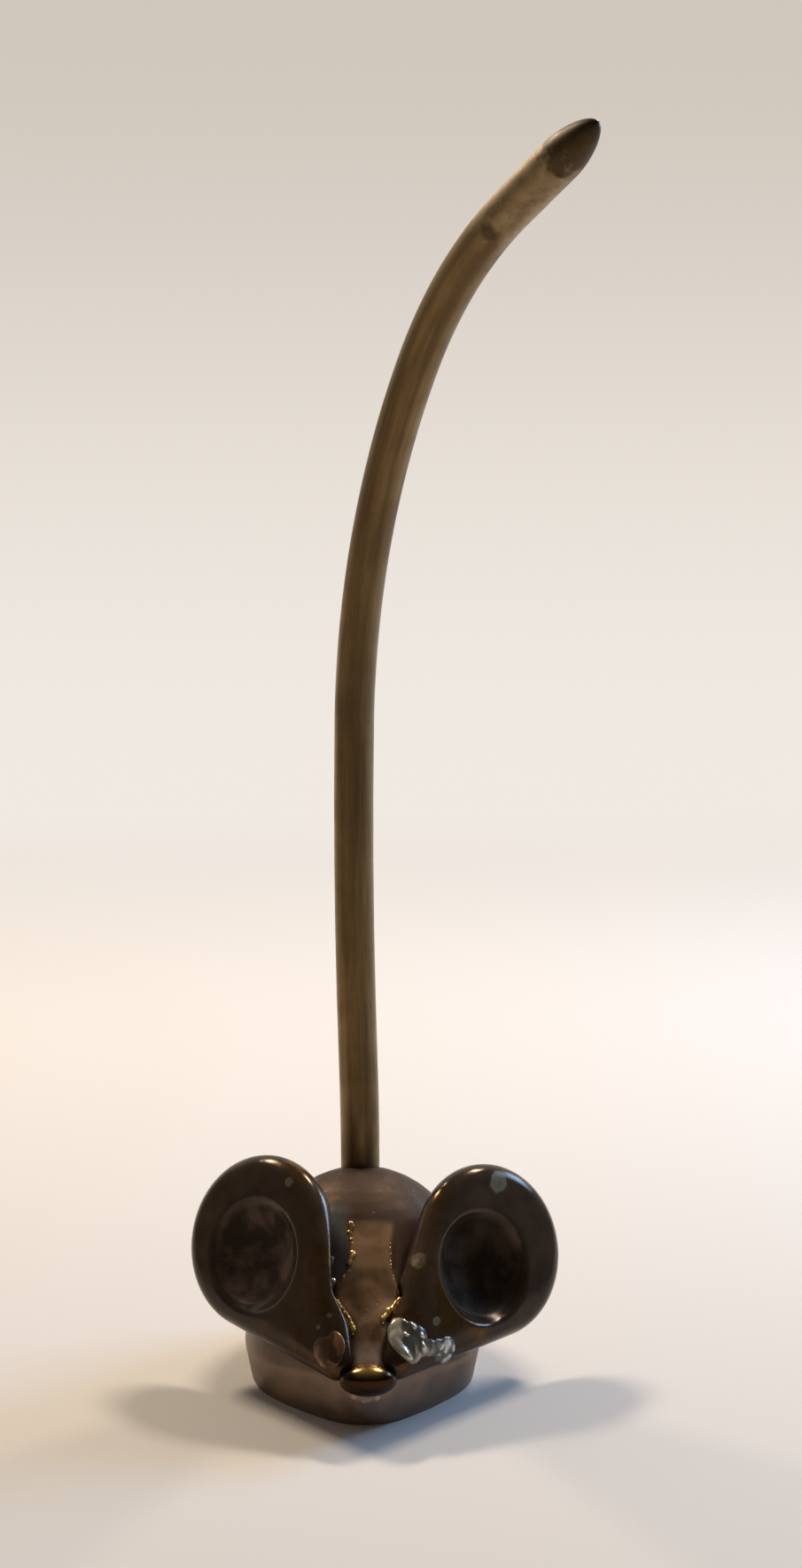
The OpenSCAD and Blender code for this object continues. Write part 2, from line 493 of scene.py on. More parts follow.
class Effects:
    """The shared shader groups: each gives masks or values and holds no shader of its own."""

    RAGGED = Mottle(1.4, 3.0, 0.3, 0.7, 0.8, 1.2)
    PATCH_FADE = (0.65, 1.1)
    SPECKS = Mottle(0.5, 3.0, 0.3, 0.65, 0.6, 1.0)
    CLOUDS = Mottle(3.4, 6.0, 0.32, 0.68, rough=0.62)
    PITS = Mottle(0.7, 2.0, 0.66, 0.76, rough=0.5)
    GRAIN = (0.35, 4.0, 0.6)
    GRAIN_SHARE = 0.5
    UNEVEN = Mottle(1.8, 4.0, 0.3, 0.75, 0.25, 1.0)
    STREAKS = Mottle(1.1, 5.0, 0.3, 0.7, rough=0.65)
    STREAK_SHARE = 0.045
    BLOTCHES = Mottle(3.0, 5.0, 0.42, 0.7, rough=0.6)
    BLOTCH_SHARE = 0.3

    @staticmethod
    def _open(
        name: str, outputs: Sequence[str], *inputs: tuple[str, str]
    ) -> tuple[NodeSheet, Sequence[NodeSocket]]:
        """Opens a new group, whose first input is the place on the surface.

        Args:
            name: The group's name.
            outputs: The name of each output value.
            *inputs: The name and the kind of each further input.

        Returns:
            The group's sheet and the sockets of its inputs.
        """
        tree = bpy.data.node_groups.new(name, "ShaderNodeTree")
        for label, kind in (("Place", "Vector"), *inputs):
            tree.interface.new_socket(name=label, in_out="INPUT", socket_type=f"NodeSocket{kind}")
        for label in outputs:
            tree.interface.new_socket(name=label, in_out="OUTPUT", socket_type="NodeSocketFloat")
        return NodeSheet(tree), tree.nodes.new("NodeGroupInput").outputs[: len(inputs) + 1]

    @staticmethod
    def _close(sheet: NodeSheet, *values: NodeSocket) -> NodeTree:
        """Joins a group's values to its outputs.

        Args:
            sheet: The group's sheet.
            *values: The value of each output, in order.

        Returns:
            The finished group.
        """
        result = sheet.tree.nodes.new("NodeGroupOutput")
        for number, value in enumerate(values):
            sheet.tree.links.new(value, result.inputs[number])
        return sheet.tree

    @classmethod
    @cache
    def wear_and_glint_patch(cls) -> NodeTree:
        """Gives a ragged round patch about a point, for wear and for painted glints.

        Returns:
            The group.
        """
        sheet, (place, centre, radius) = cls._open(
            "wear_and_glint_patch", ("Mask",), ("Centre", "Vector"), ("Radius", "Float")
        )
        edge = sheet.times(radius, sheet.mottle(place, cls.RAGGED))
        inside = sheet.maths("DIVIDE", sheet.away(place, centre), edge)
        patch = sheet.step(inside, *cls.PATCH_FADE, 1.0, 0.0)
        return cls._close(sheet, sheet.times(patch, sheet.mottle(place, cls.SPECKS)))

    @classmethod
    @cache
    def aged_skin(cls) -> NodeTree:
        """Gives the clouding, the pits and the fine relief of old cast metal.

        Returns:
            The group.
        """
        sheet, (place,) = cls._open("aged_skin", ("Clouds", "Pits", "Height"))
        pits = sheet.mottle(place, cls.PITS)
        grain = sheet.times(sheet.noise(place, *cls.GRAIN), cls.GRAIN_SHARE)
        return cls._close(sheet, sheet.mottle(place, cls.CLOUDS), pits, sheet.maths("SUBTRACT", grain, pits))

    @classmethod
    @cache
    def rubbed_edge(cls) -> NodeTree:
        """Gives the wear on outward edges, from the bend of the surface.

        Returns:
            The group.
        """
        sheet, (place, low, high) = cls._open("rubbed_edge", ("Mask",), ("Low", "Float"), ("High", "Float"))
        bend = sheet.step(sheet.add("NewGeometry").outputs["Pointiness"], low, high)
        return cls._close(sheet, sheet.times(bend, sheet.mottle(place, cls.UNEVEN)))

    @classmethod
    @cache
    def drawn_streaks(cls) -> NodeTree:
        """Gives the long streaks and the blotches of a drawn rod.

        Returns:
            The group.
        """
        sheet, (place,) = cls._open("drawn_streaks", ("Streaks", "Blotches"))
        streaks = sheet.mottle(sheet.drawn_out(place, cls.STREAK_SHARE), cls.STREAKS)
        blotches = sheet.mottle(sheet.drawn_out(place, cls.BLOTCH_SHARE), cls.BLOTCHES)
        return cls._close(sheet, streaks, blotches)


@dataclass(frozen=True)
class WearAndGlint:
    """A round patch on a piece, in millimetres: wear on most pieces, painted glints on the ledge under the
    nose.
    """

    centre: Point
    radius: float


@dataclass(frozen=True)
class MetalFinish:
    """An aged metal surface: its tones from deep to pale with wear, with painted sheen and glints in the
    pale tone of some finishes, and how it shines.
    """

    PATCH_ROUGHNESS = 0.55
    PIT_SHARE = 0.45
    BUMP = 0.6

    name: str
    deep: Colour
    warm: Colour
    rubbed_and_sheen: Colour
    worn_and_glint: Colour = (0.17, 0.14, 0.085)
    roughness: tuple[float, float] = (0.28, 0.46)
    edge_bend: tuple[float, float] = (0.56, 0.68)
    metal: float = 1.0
    gloss: float = 0.5
    relief: float = 0.03
    patches: tuple[WearAndGlint, ...] = ()

    def place(self, sheet: NodeSheet) -> NodeSocket:
        """Gives the surface's own coordinates."""
        return sheet.add("TexCoord").outputs["Object"]

    def colour(self, sheet: NodeSheet, place: NodeSocket, skin: Node) -> NodeSocket:
        """Mixes the finish's tones.

        Args:
            sheet: The material's sheet.
            place: The socket of the surface's coordinates.
            skin: The node with the clouding.

        Returns:
            The colour's socket.
        """
        tone = sheet.blend(skin.outputs["Clouds"], self.deep, self.warm)
        return sheet.blend(self.rubbing_and_sheen(sheet, place), tone, self.rubbed_and_sheen)

    def rubbing_and_sheen(self, sheet: NodeSheet, place: NodeSocket) -> NodeSocket:
        """Gives the mask of the edges that wear has made bright."""
        low, high = self.edge_bend
        return sheet.effect(Effects.rubbed_edge(), Place=place, Low=low, High=high).outputs["Mask"]

    def material(self) -> Material:
        """Makes the finish's material.

        Returns:
            The new material.
        """
        material = bpy.data.materials.new(self.name)
        material.use_nodes = True
        sheet = NodeSheet(material.node_tree)
        shader = material.node_tree.nodes["Principled BSDF"]
        place = self.place(sheet)
        skin = sheet.effect(Effects.aged_skin(), Place=place)
        tone = self.colour(sheet, place, skin)
        shine = self.shine(sheet, skin)
        # Each patch is a spot of wear, except on the casting, where the patches are painted glints under the
        # nose.
        for patch in self.patches:
            centre, radius = Vector(patch.centre) * MM, patch.radius * MM
            worn_and_glint = sheet.effect(Effects.wear_and_glint_patch(), Place=place, Centre=centre, Radius=radius)
            spot = worn_and_glint.outputs["Mask"]
            tone = sheet.blend(spot, tone, self.worn_and_glint)
            shine = sheet.maths("MAXIMUM", shine, sheet.times(spot, self.PATCH_ROUGHNESS))
        shaded = sheet.blend(sheet.times(skin.outputs["Pits"], self.PIT_SHARE), tone, self.deep)
        relief = {"Strength": self.BUMP, "Distance": self.relief * MM, "Height": skin.outputs["Height"]}
        bump = sheet.add("Bump", relief)
        for name, value in (("Base Color", shaded), ("Roughness", shine), ("Normal", bump.outputs[0])):
            sheet.tree.links.new(value, shader.inputs[name])
        self.set_gloss(sheet, shader, place)
        return material

    def set_gloss(self, sheet: NodeSheet, shader: Node, place: NodeSocket) -> None:
        """Sets how much bare metal there is, and how much of the gloss of a clear skin.

        Args:
            sheet: The material's sheet.
            shader: The material's shader.
            place: The socket of the surface's coordinates.
        """
        shader.inputs["Metallic"].default_value = self.metal
        shader.inputs["Specular IOR Level"].default_value = self.gloss

    def shine(self, sheet: NodeSheet, skin: Node) -> NodeSocket:
        """Gives the roughness, which follows the clouding."""
        smooth, rough = self.roughness
        return sheet.step(skin.outputs["Clouds"], 0.0, 1.0, smooth, rough)


@dataclass(frozen=True)
class CastingFinish(MetalFinish):
    """The casting's finish, with its golden forehead, the grey groove beside that and painted shade on the
    crown.
    """

    FOOT_WEAR = Mottle(2.2, 4.0, 0.42, 0.7)

    gold: Colour = (0.14, 0.07, 0.022)
    low_gold: Colour = (0.125, 0.066, 0.03)
    grey: Colour = (0.08, 0.08, 0.085)
    # Painted shade: the crown tone darkens the top of the head by its height, where the lamps light it most.
    crown: Colour = (0.046, 0.024, 0.012)
    crown_from: float = 9.0
    crown_to: float = 14.0
    crown_share: float = 0.9
    crown_dull: float = 0.12
    gold_from: float = 8.0
    gold_to: float = 13.0
    gold_clouds: float = 0.4
    groove_share: float = 0.8
    wear_from: float = 0.2
    wear_to: float = 1.4
    wear_share: float = 0.6

    def crown_mask(self, sheet: NodeSheet, place: NodeSocket) -> NodeSocket:
        """Gives the mask of the crown of the head, by its height."""
        return sheet.span(sheet.height(place), self.crown_from, self.crown_to, 0.0, self.crown_share)

    def shine(self, sheet: NodeSheet, skin: Node) -> NodeSocket:
        """Gives the roughness, which is higher on the crown."""
        crown = self.crown_mask(sheet, self.place(sheet))
        return sheet.maths("ADD", super().shine(sheet, skin), sheet.times(crown, self.crown_dull))

    def rubbing_and_sheen(self, sheet: NodeSheet, place: NodeSocket) -> NodeSocket:
        """Gives the mask of the wear just above the foot, where the wall meets the table."""
        low = sheet.span(sheet.height(place), self.wear_from, self.wear_to, self.wear_share, 0.0)
        return sheet.times(low, sheet.mottle(place, self.FOOT_WEAR))

    def colour(self, sheet: NodeSheet, place: NodeSocket, skin: Node) -> NodeSocket:
        """Mixes the casting's tones and lays the golden forehead and the grey groove over them.

        Args:
            sheet: The material's sheet.
            place: The socket of the surface's coordinates.
            skin: The node with the clouding.

        Returns:
            The colour's socket.
        """
        tone = super().colour(sheet, place, skin)
        # Painted shade on the crown, by height.
        tone = sheet.blend(self.crown_mask(sheet, place), tone, self.crown)
        tone = sheet.blend(sheet.times(sheet.mask(Casting.GROOVE), self.groove_share), tone, self.grey)
        upper = sheet.span(sheet.height(place), self.gold_from, self.gold_to)
        golden = sheet.blend(upper, self.low_gold, self.gold)
        golden = sheet.blend(sheet.times(skin.outputs["Clouds"], self.gold_clouds), golden, self.warm)
        return sheet.blend(sheet.mask(Casting.FOREHEAD), tone, golden)


@dataclass(frozen=True)
class EarFinish(MetalFinish):
    """An ear's dark finish, paler with wear a little on its rim and dull in its dish, with painted light and
    shade laid in that dish.
    """

    RIM_WEAR = Mottle(4.0, 5.0, 0.4, 0.72, 0.1, 0.9)
    DISH_LIGHTING_MOTTLE = Mottle(2.6, 5.0, 0.38, 0.66)

    dish_lighting: Colour = (0.01, 0.007, 0.005)
    dish_lighting_share: float = 0.85
    mottle: float = 0.3
    dull: float = 0.7
    dish_gloss: float = 0.1
    bare_from: float = 0.6
    # Painted shade: the ear is darkened towards its foot, against the pale table's light on its lower part.
    low: Colour = (0.012, 0.008, 0.006)
    low_shade_from: float = 6.0
    low_shade_to: float = 15.0
    low_shade_share: float = 0.52

    def rubbing_and_sheen(self, sheet: NodeSheet, place: NodeSocket) -> NodeSocket:
        """Gives the mask of the rim, from the ear's own attribute, in uneven stretches."""
        return sheet.times(sheet.mask(Ear.RIM), sheet.mottle(place, self.RIM_WEAR))

    def colour(self, sheet: NodeSheet, place: NodeSocket, skin: Node) -> NodeSocket:
        """Mixes the ear's tones, darkens its lower part with painted shade and lays mottled painted light
        and shade in its dish.

        Args:
            sheet: The material's sheet.
            place: The socket of the surface's coordinates.
            skin: The node with the clouding.

        Returns:
            The colour's socket.
        """
        tone = super().colour(sheet, place, skin)
        # Painted shade, darker towards the foot of the ear.
        low = sheet.span(sheet.height(place), self.low_shade_from, self.low_shade_to, self.low_shade_share, 0.0)
        tone = sheet.blend(low, tone, self.low)
        # Painted light and shade in the dish: a mottled tone, pale in the shallow left dish and near black
        # in the deep right one.
        hollows = tuple(self.mottle * value for value in self.dish_lighting)
        dish_lighting = sheet.blend(sheet.mottle(place, self.DISH_LIGHTING_MOTTLE), hollows, self.dish_lighting)
        return sheet.blend(sheet.times(sheet.mask(Ear.DISH), self.dish_lighting_share), tone, dish_lighting)

    def shine(self, sheet: NodeSheet, skin: Node) -> NodeSocket:
        """Gives the roughness, which is higher in the dish."""
        dull = sheet.times(sheet.mask(Ear.DISH), self.dull)
        return sheet.maths("MAXIMUM", super().shine(sheet, skin), dull)

    def set_gloss(self, sheet: NodeSheet, shader: Node, place: NodeSocket) -> None:
        """Lets the rim be bare metal and takes most of the gloss away in the dish.

        Args:
            sheet: The material's sheet.
            shader: The material's shader.
            place: The socket of the surface's coordinates.
        """
        bare = sheet.step(self.rubbing_and_sheen(sheet, place), 0.0, self.bare_from, self.metal, 1.0)
        sheet.tree.links.new(bare, shader.inputs["Metallic"])
        left = sheet.step(sheet.mask(Ear.DISH), 0.0, 1.0, self.gloss, self.dish_gloss * self.gloss)
        sheet.tree.links.new(left, shader.inputs["Specular IOR Level"])


@dataclass(frozen=True)
class NoseFinish(MetalFinish):
    """The nose's dark polish, gold with wear in the middle of its top."""

    gold_from: float = 6.25
    gold_to: float = 6.95
    gold_reach: float = 1.8
    gold_core: float = 0.4

    def rubbing_and_sheen(self, sheet: NodeSheet, place: NodeSocket) -> NodeSocket:
        """Gives the mask of the nose's top, gold with wear.

        Args:
            sheet: The material's sheet.
            place: The socket of the surface's coordinates.

        Returns:
            The mask's socket.
        """
        axes = sheet.add("SeparateXYZ", {0: place})
        high = sheet.span(axes.outputs["Z"], self.gold_from, self.gold_to)
        aside = sheet.maths("ABSOLUTE", axes.outputs["X"])
        middle = sheet.span(aside, self.gold_core * self.gold_reach, self.gold_reach, 1.0, 0.0)
        return sheet.times(high, middle)


@dataclass(frozen=True)
class SolderFinish(MetalFinish):
    """Old solder: dark in its hollows and pale where it stands proud, the small proud folds painted pale as
    glints.
    """

    PROUD_RISE = (0.4, 0.75)
    PROUD_MOTTLE = Mottle(0.9, 4.0, 0.3, 0.7, 0.5, 1.0)

    def rubbing_and_sheen(self, sheet: NodeSheet, place: NodeSocket) -> NodeSocket:
        """Gives the mask of the proud parts, from the lumps' own attribute; on small folds it paints glints.
        """
        proud = sheet.step(sheet.mask(Lumps.RISE), *self.PROUD_RISE)
        return sheet.times(proud, sheet.mottle(place, self.PROUD_MOTTLE))


@dataclass(frozen=True)
class RodFinish(MetalFinish):
    """The drawn rod's finish: streaks, painted sheen on its lower edges, a pale length, a smear and a dark
    tip.
    """

    EDGE_SHEEN = (0.35, 0.8)
    RAGGED = Mottle(1.8, 4.0, 0.3, 0.7, -1.6 * MM, 1.6 * MM)
    PALE_WEAR = Mottle(1.2, 5.0, 0.35, 0.65, 0.2, 0.75)

    blotch_share: float = 0.55
    pale_from: float = 109.5
    pale_fade: float = 1.5
    dark_from: float = 120.0
    dark_fade: float = 2.0
    dark_share: float = 0.85
    # The painted edge sheen: its share, and where it fades out along the rod, in millimetres.
    edge_sheen_share: float = 0.7
    edge_sheen_from: float = 50.0
    edge_sheen_to: float = 85.0
    dark: Colour = (0.045, 0.026, 0.011)
    smear: Point = (-1.2, 1.6, 110.8)
    smear_radius: float = 1.3
    smear_core: float = 0.3
    smear_share: float = 0.75

    def place(self, sheet: NodeSheet) -> NodeSocket:
        """Gives the place on the rod as if it were straight, from the rod's own attribute."""
        return sheet.add("Attribute", attribute_name=Tail.STRAIGHT).outputs["Vector"]

    def colour(self, sheet: NodeSheet, place: NodeSocket, skin: Node) -> NodeSocket:
        """Mixes the rod's tones along its length.

        Args:
            sheet: The material's sheet.
            place: The socket of the surface's coordinates.
            skin: The node with the clouding.

        Returns:
            The colour's socket.
        """
        drawn = sheet.effect(Effects.drawn_streaks(), Place=place).outputs
        tone = sheet.blend(drawn["Streaks"], self.deep, self.warm)
        tone = sheet.blend(sheet.times(drawn["Blotches"], self.blotch_share), tone, self.deep)
        along = sheet.height(place)
        # Painted sheen: where the rod turns from view its lower edges get the pale tone, as the pale table
        # would light them, fading out higher up.
        turned = sheet.add("LayerWeight", {"Blend": 0.5}).outputs["Facing"]
        lower = sheet.span(along, self.edge_sheen_from, self.edge_sheen_to, self.edge_sheen_share, 0.0)
        tone = sheet.blend(sheet.times(sheet.step(turned, *self.EDGE_SHEEN), lower), tone, self.rubbed_and_sheen)
        along = sheet.maths("ADD", along, sheet.mottle(place, self.RAGGED))
        pale = sheet.span(along, self.pale_from, self.pale_from + self.pale_fade)
        tone = sheet.blend(sheet.times(pale, sheet.mottle(place, self.PALE_WEAR)), tone, self.rubbed_and_sheen)
        dark = sheet.span(along, self.dark_from, self.dark_from + self.dark_fade, 0.0, self.dark_share)
        away = sheet.away(place, tuple(value * MM for value in self.smear))
        core = self.smear_core * self.smear_radius
        smear = sheet.span(away, core, self.smear_radius, self.smear_share, 0.0)
        return sheet.blend(dark, sheet.blend(smear, tone, self.worn_and_glint), self.dark)


@dataclass
class Casting:
    """The mouse's body: one rounded casting with a raised forehead and a socket for the tail."""

    FOREHEAD = "forehead"
    GROOVE = "groove"

    foot_length: float = 26.2
    foot_width: float = 22.0
    widest_ahead: float = 1.0
    chin_radius: float = 7.5
    rump_radius: float = 10.4
    belly_width: float = 23.8
    belly_height: float = 3.4
    back_radius: float = 10.8
    back_height: float = 19.5
    back_behind: float = 3.2
    snout_radius: float = 3.2
    snout_ahead: float = 14.0
    snout_height: float = 4.7
    socket_behind: float = 6.5
    socket_radius: float = 2.05
    socket_floor: float = 8.98
    spare_foot: float = 1.2
    rim_height: float = 0.4
    edge_round: float = 0.4
    parting_depth: float = 3.0
    parting_height: float = 7.0
    grain: float = 0.22
    melt: int = 9
    side_drop: float = 0.6
    forehead: Outline = (
        (0.02, -1.3, 3.0, -0.1),
        (0.22, -1.3, 2.7, 0.2),
        (0.38, -1.6, 2.7, 0.3),
        (0.5, -3.0, 3.3, 0.3),
        (0.58, -3.2, 3.5, 0.3),
        (0.67, -2.4, 2.3, 0.25),
        (0.76, -1.5, 1.4, 0.2),
        (0.9, -1.3, 1.3, 0.1),
    )
    parting: Outline = (
        (-0.1, -3.4, 5.2, 0.0),
        (0.12, -3.3, 3.7, 0.0),
        (0.38, -3.3, 3.0, 0.0),
        (0.5, -3.3, 3.4, 0.0),
        (0.58, -3.2, 3.55, 0.0),
        (0.67, -2.5, 2.4, 0.0),
        (0.76, -1.6, 1.5, 0.0),
        (0.95, -1.4, 1.4, 0.0),
    )
    groove: Outline = (
        (-0.12, -4.2, -1.5, 0.0),
        (0.38, -3.7, -1.7, 0.0),
        (0.52, -3.6, -3.0, 0.0),
    )
    lip_line: tuple[Point, ...] = ((-1.4, -16.5, 3.95), (-0.2, -16.9, 3.7), (1.1, -16.6, 3.95))
    lip_radius: float = 0.38
    end_blur: float = 0.7
    forehead_blur: float = 0.35
    groove_blur: float = 1.0
    mark_depth: float = 2.5

    def roof(self, share: float) -> tuple[Vector, Vector, float]:
        """Finds the line down the middle of the face, from the back to the snout.

        Args:
            share: How far down the line, from 0 at the back to 1 at the snout.

        Returns:
            The point on the line, the direction out of the surface, and the surface's radius across.
        """
        back = Vector((0.0, self.back_behind, self.back_height - self.back_radius))
        snout = Vector((0.0, -self.snout_ahead, self.snout_height))
        reach = snout - back
        tilt = math.acos((self.back_radius - self.snout_radius) / reach.length)
        outward = Matrix.Rotation(-tilt, 4, "X") @ reach.normalized()
        centre = back.lerp(snout, share)
        radius = self.back_radius + (self.snout_radius - self.back_radius) * share
        return centre + outward * radius, outward, radius

    @staticmethod
    def read(outline: Outline, column: int, share: Any) -> np.ndarray:
        """Reads one column of an outline part of the way down the face."""
        return np.interp(share, *np.array(outline)[:, [0, column]].T)

    def edge(self, outline: Outline, side: Side, share: float) -> Vector:
        """Finds a point on the edge of an outline that lies on the face.

        Args:
            outline: The outline.
            side: Which edge.
            share: How far down the face.

        Returns:
            The point, as far out of the surface as the outline says.
        """
        across = float(self.read(outline, LEFT_EDGE if side is Side.LEFT else RIGHT_EDGE, share))
        proud = float(self.read(outline, PROUD, share))
        point, outward, radius = self.roof(share)
        drop = radius - math.sqrt(max(radius * radius - across * across, 0.0))
        return point + Vector((across, 0.0, 0.0)) - outward * (self.side_drop * drop - proud)

    def plates(self, outline: Outline, low: float, high: float) -> list[Object]:
        """Builds an outline on the face as a chain of rounded plates.

        Args:
            outline: The outline.
            low: How far the plates reach below the outline's edge.
            high: How far they reach above it.

        Returns:
            The plates.
        """
        chain = []
        shares = [station[0] for station in outline]
        radii = (self.edge_round, self.edge_round, self.edge_round)
        for pair in zip(shares, shares[1:]):
            pebbles = []
            for share in pair:
                outward = self.roof(share)[1]
                for side in Side:
                    inside = Vector((-side.value * self.edge_round, 0.0, 0.0))
                    corner = self.edge(outline, side, share) + inside
                    for reach in (self.edge_round - low, high - self.edge_round):
                        place = Matrix.Translation(corner + outward * reach)
                        pebbles.append(Bench.pebble("corner", place, radii))
            chain.append(Bench.wrap("plate", pebbles))
        return chain

    def parting_tool(self) -> Object:
        """Builds the tool that trims the ears' inner edges to the face's parting."""
        plates = self.plates(self.parting, self.parting_depth, self.parting_height)
        return Bench.fuse("parting", plates, self.grain)

    def lip(self) -> Object:
        """Builds the low ledge under the nose."""
        ends = [Bench.round_ball("lip", centre, self.lip_radius) for centre in self.lip_line]
        return Bench.wrap("lip", ends)

    def mark(self, piece: Object, name: str, outline: Outline, blur: float) -> None:
        """Stores how far inside an outline each point of the face lies, for patterns there.

        Args:
            piece: The casting's mesh, in millimetres.
            name: The attribute's name.
            outline: The outline.
            blur: The width over which the pattern fades at the outline's sides.
        """
        points = Bench.points(piece)
        top, bottom = np.array(self.roof(0.0)[0]), np.array(self.roof(1.0)[0])
        reach = bottom - top
        share = (points - top) @ reach / (reach @ reach)
        left, right = (self.read(outline, column, share) for column in (LEFT_EDGE, RIGHT_EDGE))
        inside = np.minimum(points[:, 0] - left, right - points[:, 0])
        ends = np.minimum(share - outline[0][0], outline[-1][0] - share) * np.linalg.norm(reach)
        above = (points - top) @ np.array(self.roof(0.0)[1])
        mask = np.clip(0.5 + inside / blur, 0.0, 1.0) * np.clip(ends / self.end_blur, 0.0, 1.0)
        Bench.paint(piece, name, mask * (above > -self.mark_depth))

    def build(self) -> Object:
        """Builds the casting.

        Returns:
            The casting, in millimetres.
        """
        half_length, foot = self.foot_length / 2, (-self.spare_foot, self.spare_foot + self.rim_height)
        rows = (
            ("rump", half_length - self.rump_radius, self.rump_radius, *foot),
            ("foot", -self.widest_ahead, self.foot_width / 2, *foot),
            ("chin", self.chin_radius - half_length, self.chin_radius, *foot),
            ("belly", -self.widest_ahead, self.belly_width / 2, self.belly_height, self.rim_height),
        )
        drums = [
            Bench.drum(name, Matrix.Translation((0.0, behind, low)), radius, tall)
            for name, behind, radius, low, tall in rows
        ]
        snout = Bench.round_ball("snout", (0.0, -self.snout_ahead, self.snout_height), self.snout_radius)
        skin = Bench.wrap("casting", [*drums, snout, self.back()])
        raised = self.plates(self.forehead, 2 * self.edge_round, 0.0)
        casting = Bench.fuse("casting", [skin, self.lip(), *raised], self.grain)
        Bench.soften(casting, self.melt)
        Bench.level(casting, 0.0)
        socket = Matrix.Translation((0.0, self.socket_behind, self.socket_floor))
        Bench.cut(casting, Bench.drum("bore", socket, self.socket_radius, self.back_height))
        self.mark(casting, self.FOREHEAD, self.forehead, self.forehead_blur)
        self.mark(casting, self.GROOVE, self.groove, self.groove_blur)
        return casting

    def back(self) -> Object:
        """Builds the rounded back: a ball with its lower half cut away.

        Returns:
            The back, in millimetres.
        """
        middle = self.back_height - self.back_radius
        ball = Bench.round_ball("back", (0.0, self.back_behind, middle), self.back_radius)
        Bench.level(ball, middle)
        return ball


@dataclass
class Ear:
    """One ear with its cheek: a thick plate with a rolled rim and a round dish."""

    RIM = "rim"
    DISH = "dish"

    side: Side
    centre: Point
    turn: float
    dish_depth: float
    dish_inward: float
    jowl: Point
    jowl_radius: float = 2.2
    radius: float = 8.6
    thickness: float = 3.6
    lean: float = 20.0
    dish_radius: float = 5.2
    dish_drop: float = 1.1
    dish_blur: float = 0.7
    cheek: Point = (2.7, -14.6, 6.6)
    cheek_radius: float = 1.8
    grain: float = 0.18
    melt: int = 14

    @property
    def name(self) -> str:
        """The node that the ear stands for."""
        return f"{self.side.name.lower()}_ear"

    def place(self) -> Matrix:
        """Gives the ear's own frame, with +Z out of the dish and +Y up the ear."""
        return Bench.facing(self.centre, self.side.value * self.turn, self.lean)

    def dish(self) -> Object:
        """Builds the ball that the ear's dish is cut with.

        Returns:
            The ball, in millimetres.
        """
        depth = self.dish_depth
        ball = (self.dish_radius**2 + depth**2) / (2 * depth)
        across = -self.side.value * self.dish_inward
        middle = Matrix.Translation((across, -self.dish_drop, self.thickness / 2 - depth + ball))
        return Bench.ball("dish", self.place() @ middle, (ball, ball, ball))

    def build(self, parting: Object) -> Object:
        """Builds the ear.

        Args:
            parting: The tool that trims its inner edge; it isn't kept.

        Returns:
            The ear, in millimetres.
        """
        cheek_end = (self.side.value * self.cheek[0], self.cheek[1], self.cheek[2])
        plate = Bench.wrap(
            "plate",
            [
                Bench.hoop("rim", self.place(), self.radius - self.thickness / 2, self.thickness),
                Bench.round_ball("jowl", self.jowl, self.jowl_radius),
                Bench.round_ball("cheek", cheek_end, self.cheek_radius),
            ],
        )
        Bench.cut(plate, self.dish())
        Bench.cut(plate, parting)
        ear = Bench.fuse(self.name, [plate], self.grain)
        Bench.soften(ear, self.melt)
        self.mark(ear)
        return ear

    def mark(self, ear: Object) -> None:
        """Stores how near each point lies to the ear's rim and how deep in its dish, for the finish.

        Args:
            ear: The ear's mesh, in millimetres.
        """
        points = Bench.points(ear, self.place())
        front = points[:, 2] > 0.0
        middle = self.radius - self.thickness / 2
        from_axis = np.hypot(points[:, 0], points[:, 1])
        rim = np.clip((from_axis - middle) / (self.radius - middle), 0.0, 1.0) * front
        across = points[:, 0] + self.side.value * self.dish_inward
        from_dish = np.hypot(across, points[:, 1] + self.dish_drop)
        above_back = points[:, 2] > self.dish_blur - self.thickness / 2
        dish = np.clip((self.dish_radius - from_dish) / self.dish_blur, 0.0, 1.0) * above_back
        Bench.paint(ear, self.RIM, rim**2)
        Bench.paint(ear, self.DISH, dish)


@dataclass
class Nose:
    """The polished nose, set in the snout on a short shank."""

    centre: Point = (0.0, -16.5, 5.5)
    width: float = 5.4
    height: float = 3.0
    out: float = 2.1
    tilt: float = 32.0
    shank_radius: float = 0.8
    shank_length: float = 3.0
    shank_sides: int = 48
    grain: float = 0.1
    melt: int = 4

    def place(self) -> Matrix:
        """Gives the nose's own frame, with +Z straight out of the snout."""
        return Bench.facing(self.centre, 0.0, self.tilt)

    def build(self) -> Object:
        """Builds the nose.

        Returns:
            The nose, in millimetres.
        """
        place = self.place()
        head = Bench.ball("nose", place, (self.width / 2, self.height / 2, self.out))
        root = place @ Matrix.Translation(UP * -self.shank_length)
        shank = Bench.drum("shank", root, self.shank_radius, self.shank_length, self.shank_sides)
        nose = Bench.fuse("nose", [head, shank], self.grain)
        Bench.soften(nose, self.melt)
        return nose


@dataclass(frozen=True)
class Fold:
    """One fold of solder: its middle across and up, its half sizes, its slant in degrees and its rise."""

    across: float
    up: float
    half_length: float
    half_width: float
    slant: float = 0.0
    rise: float = 0.08


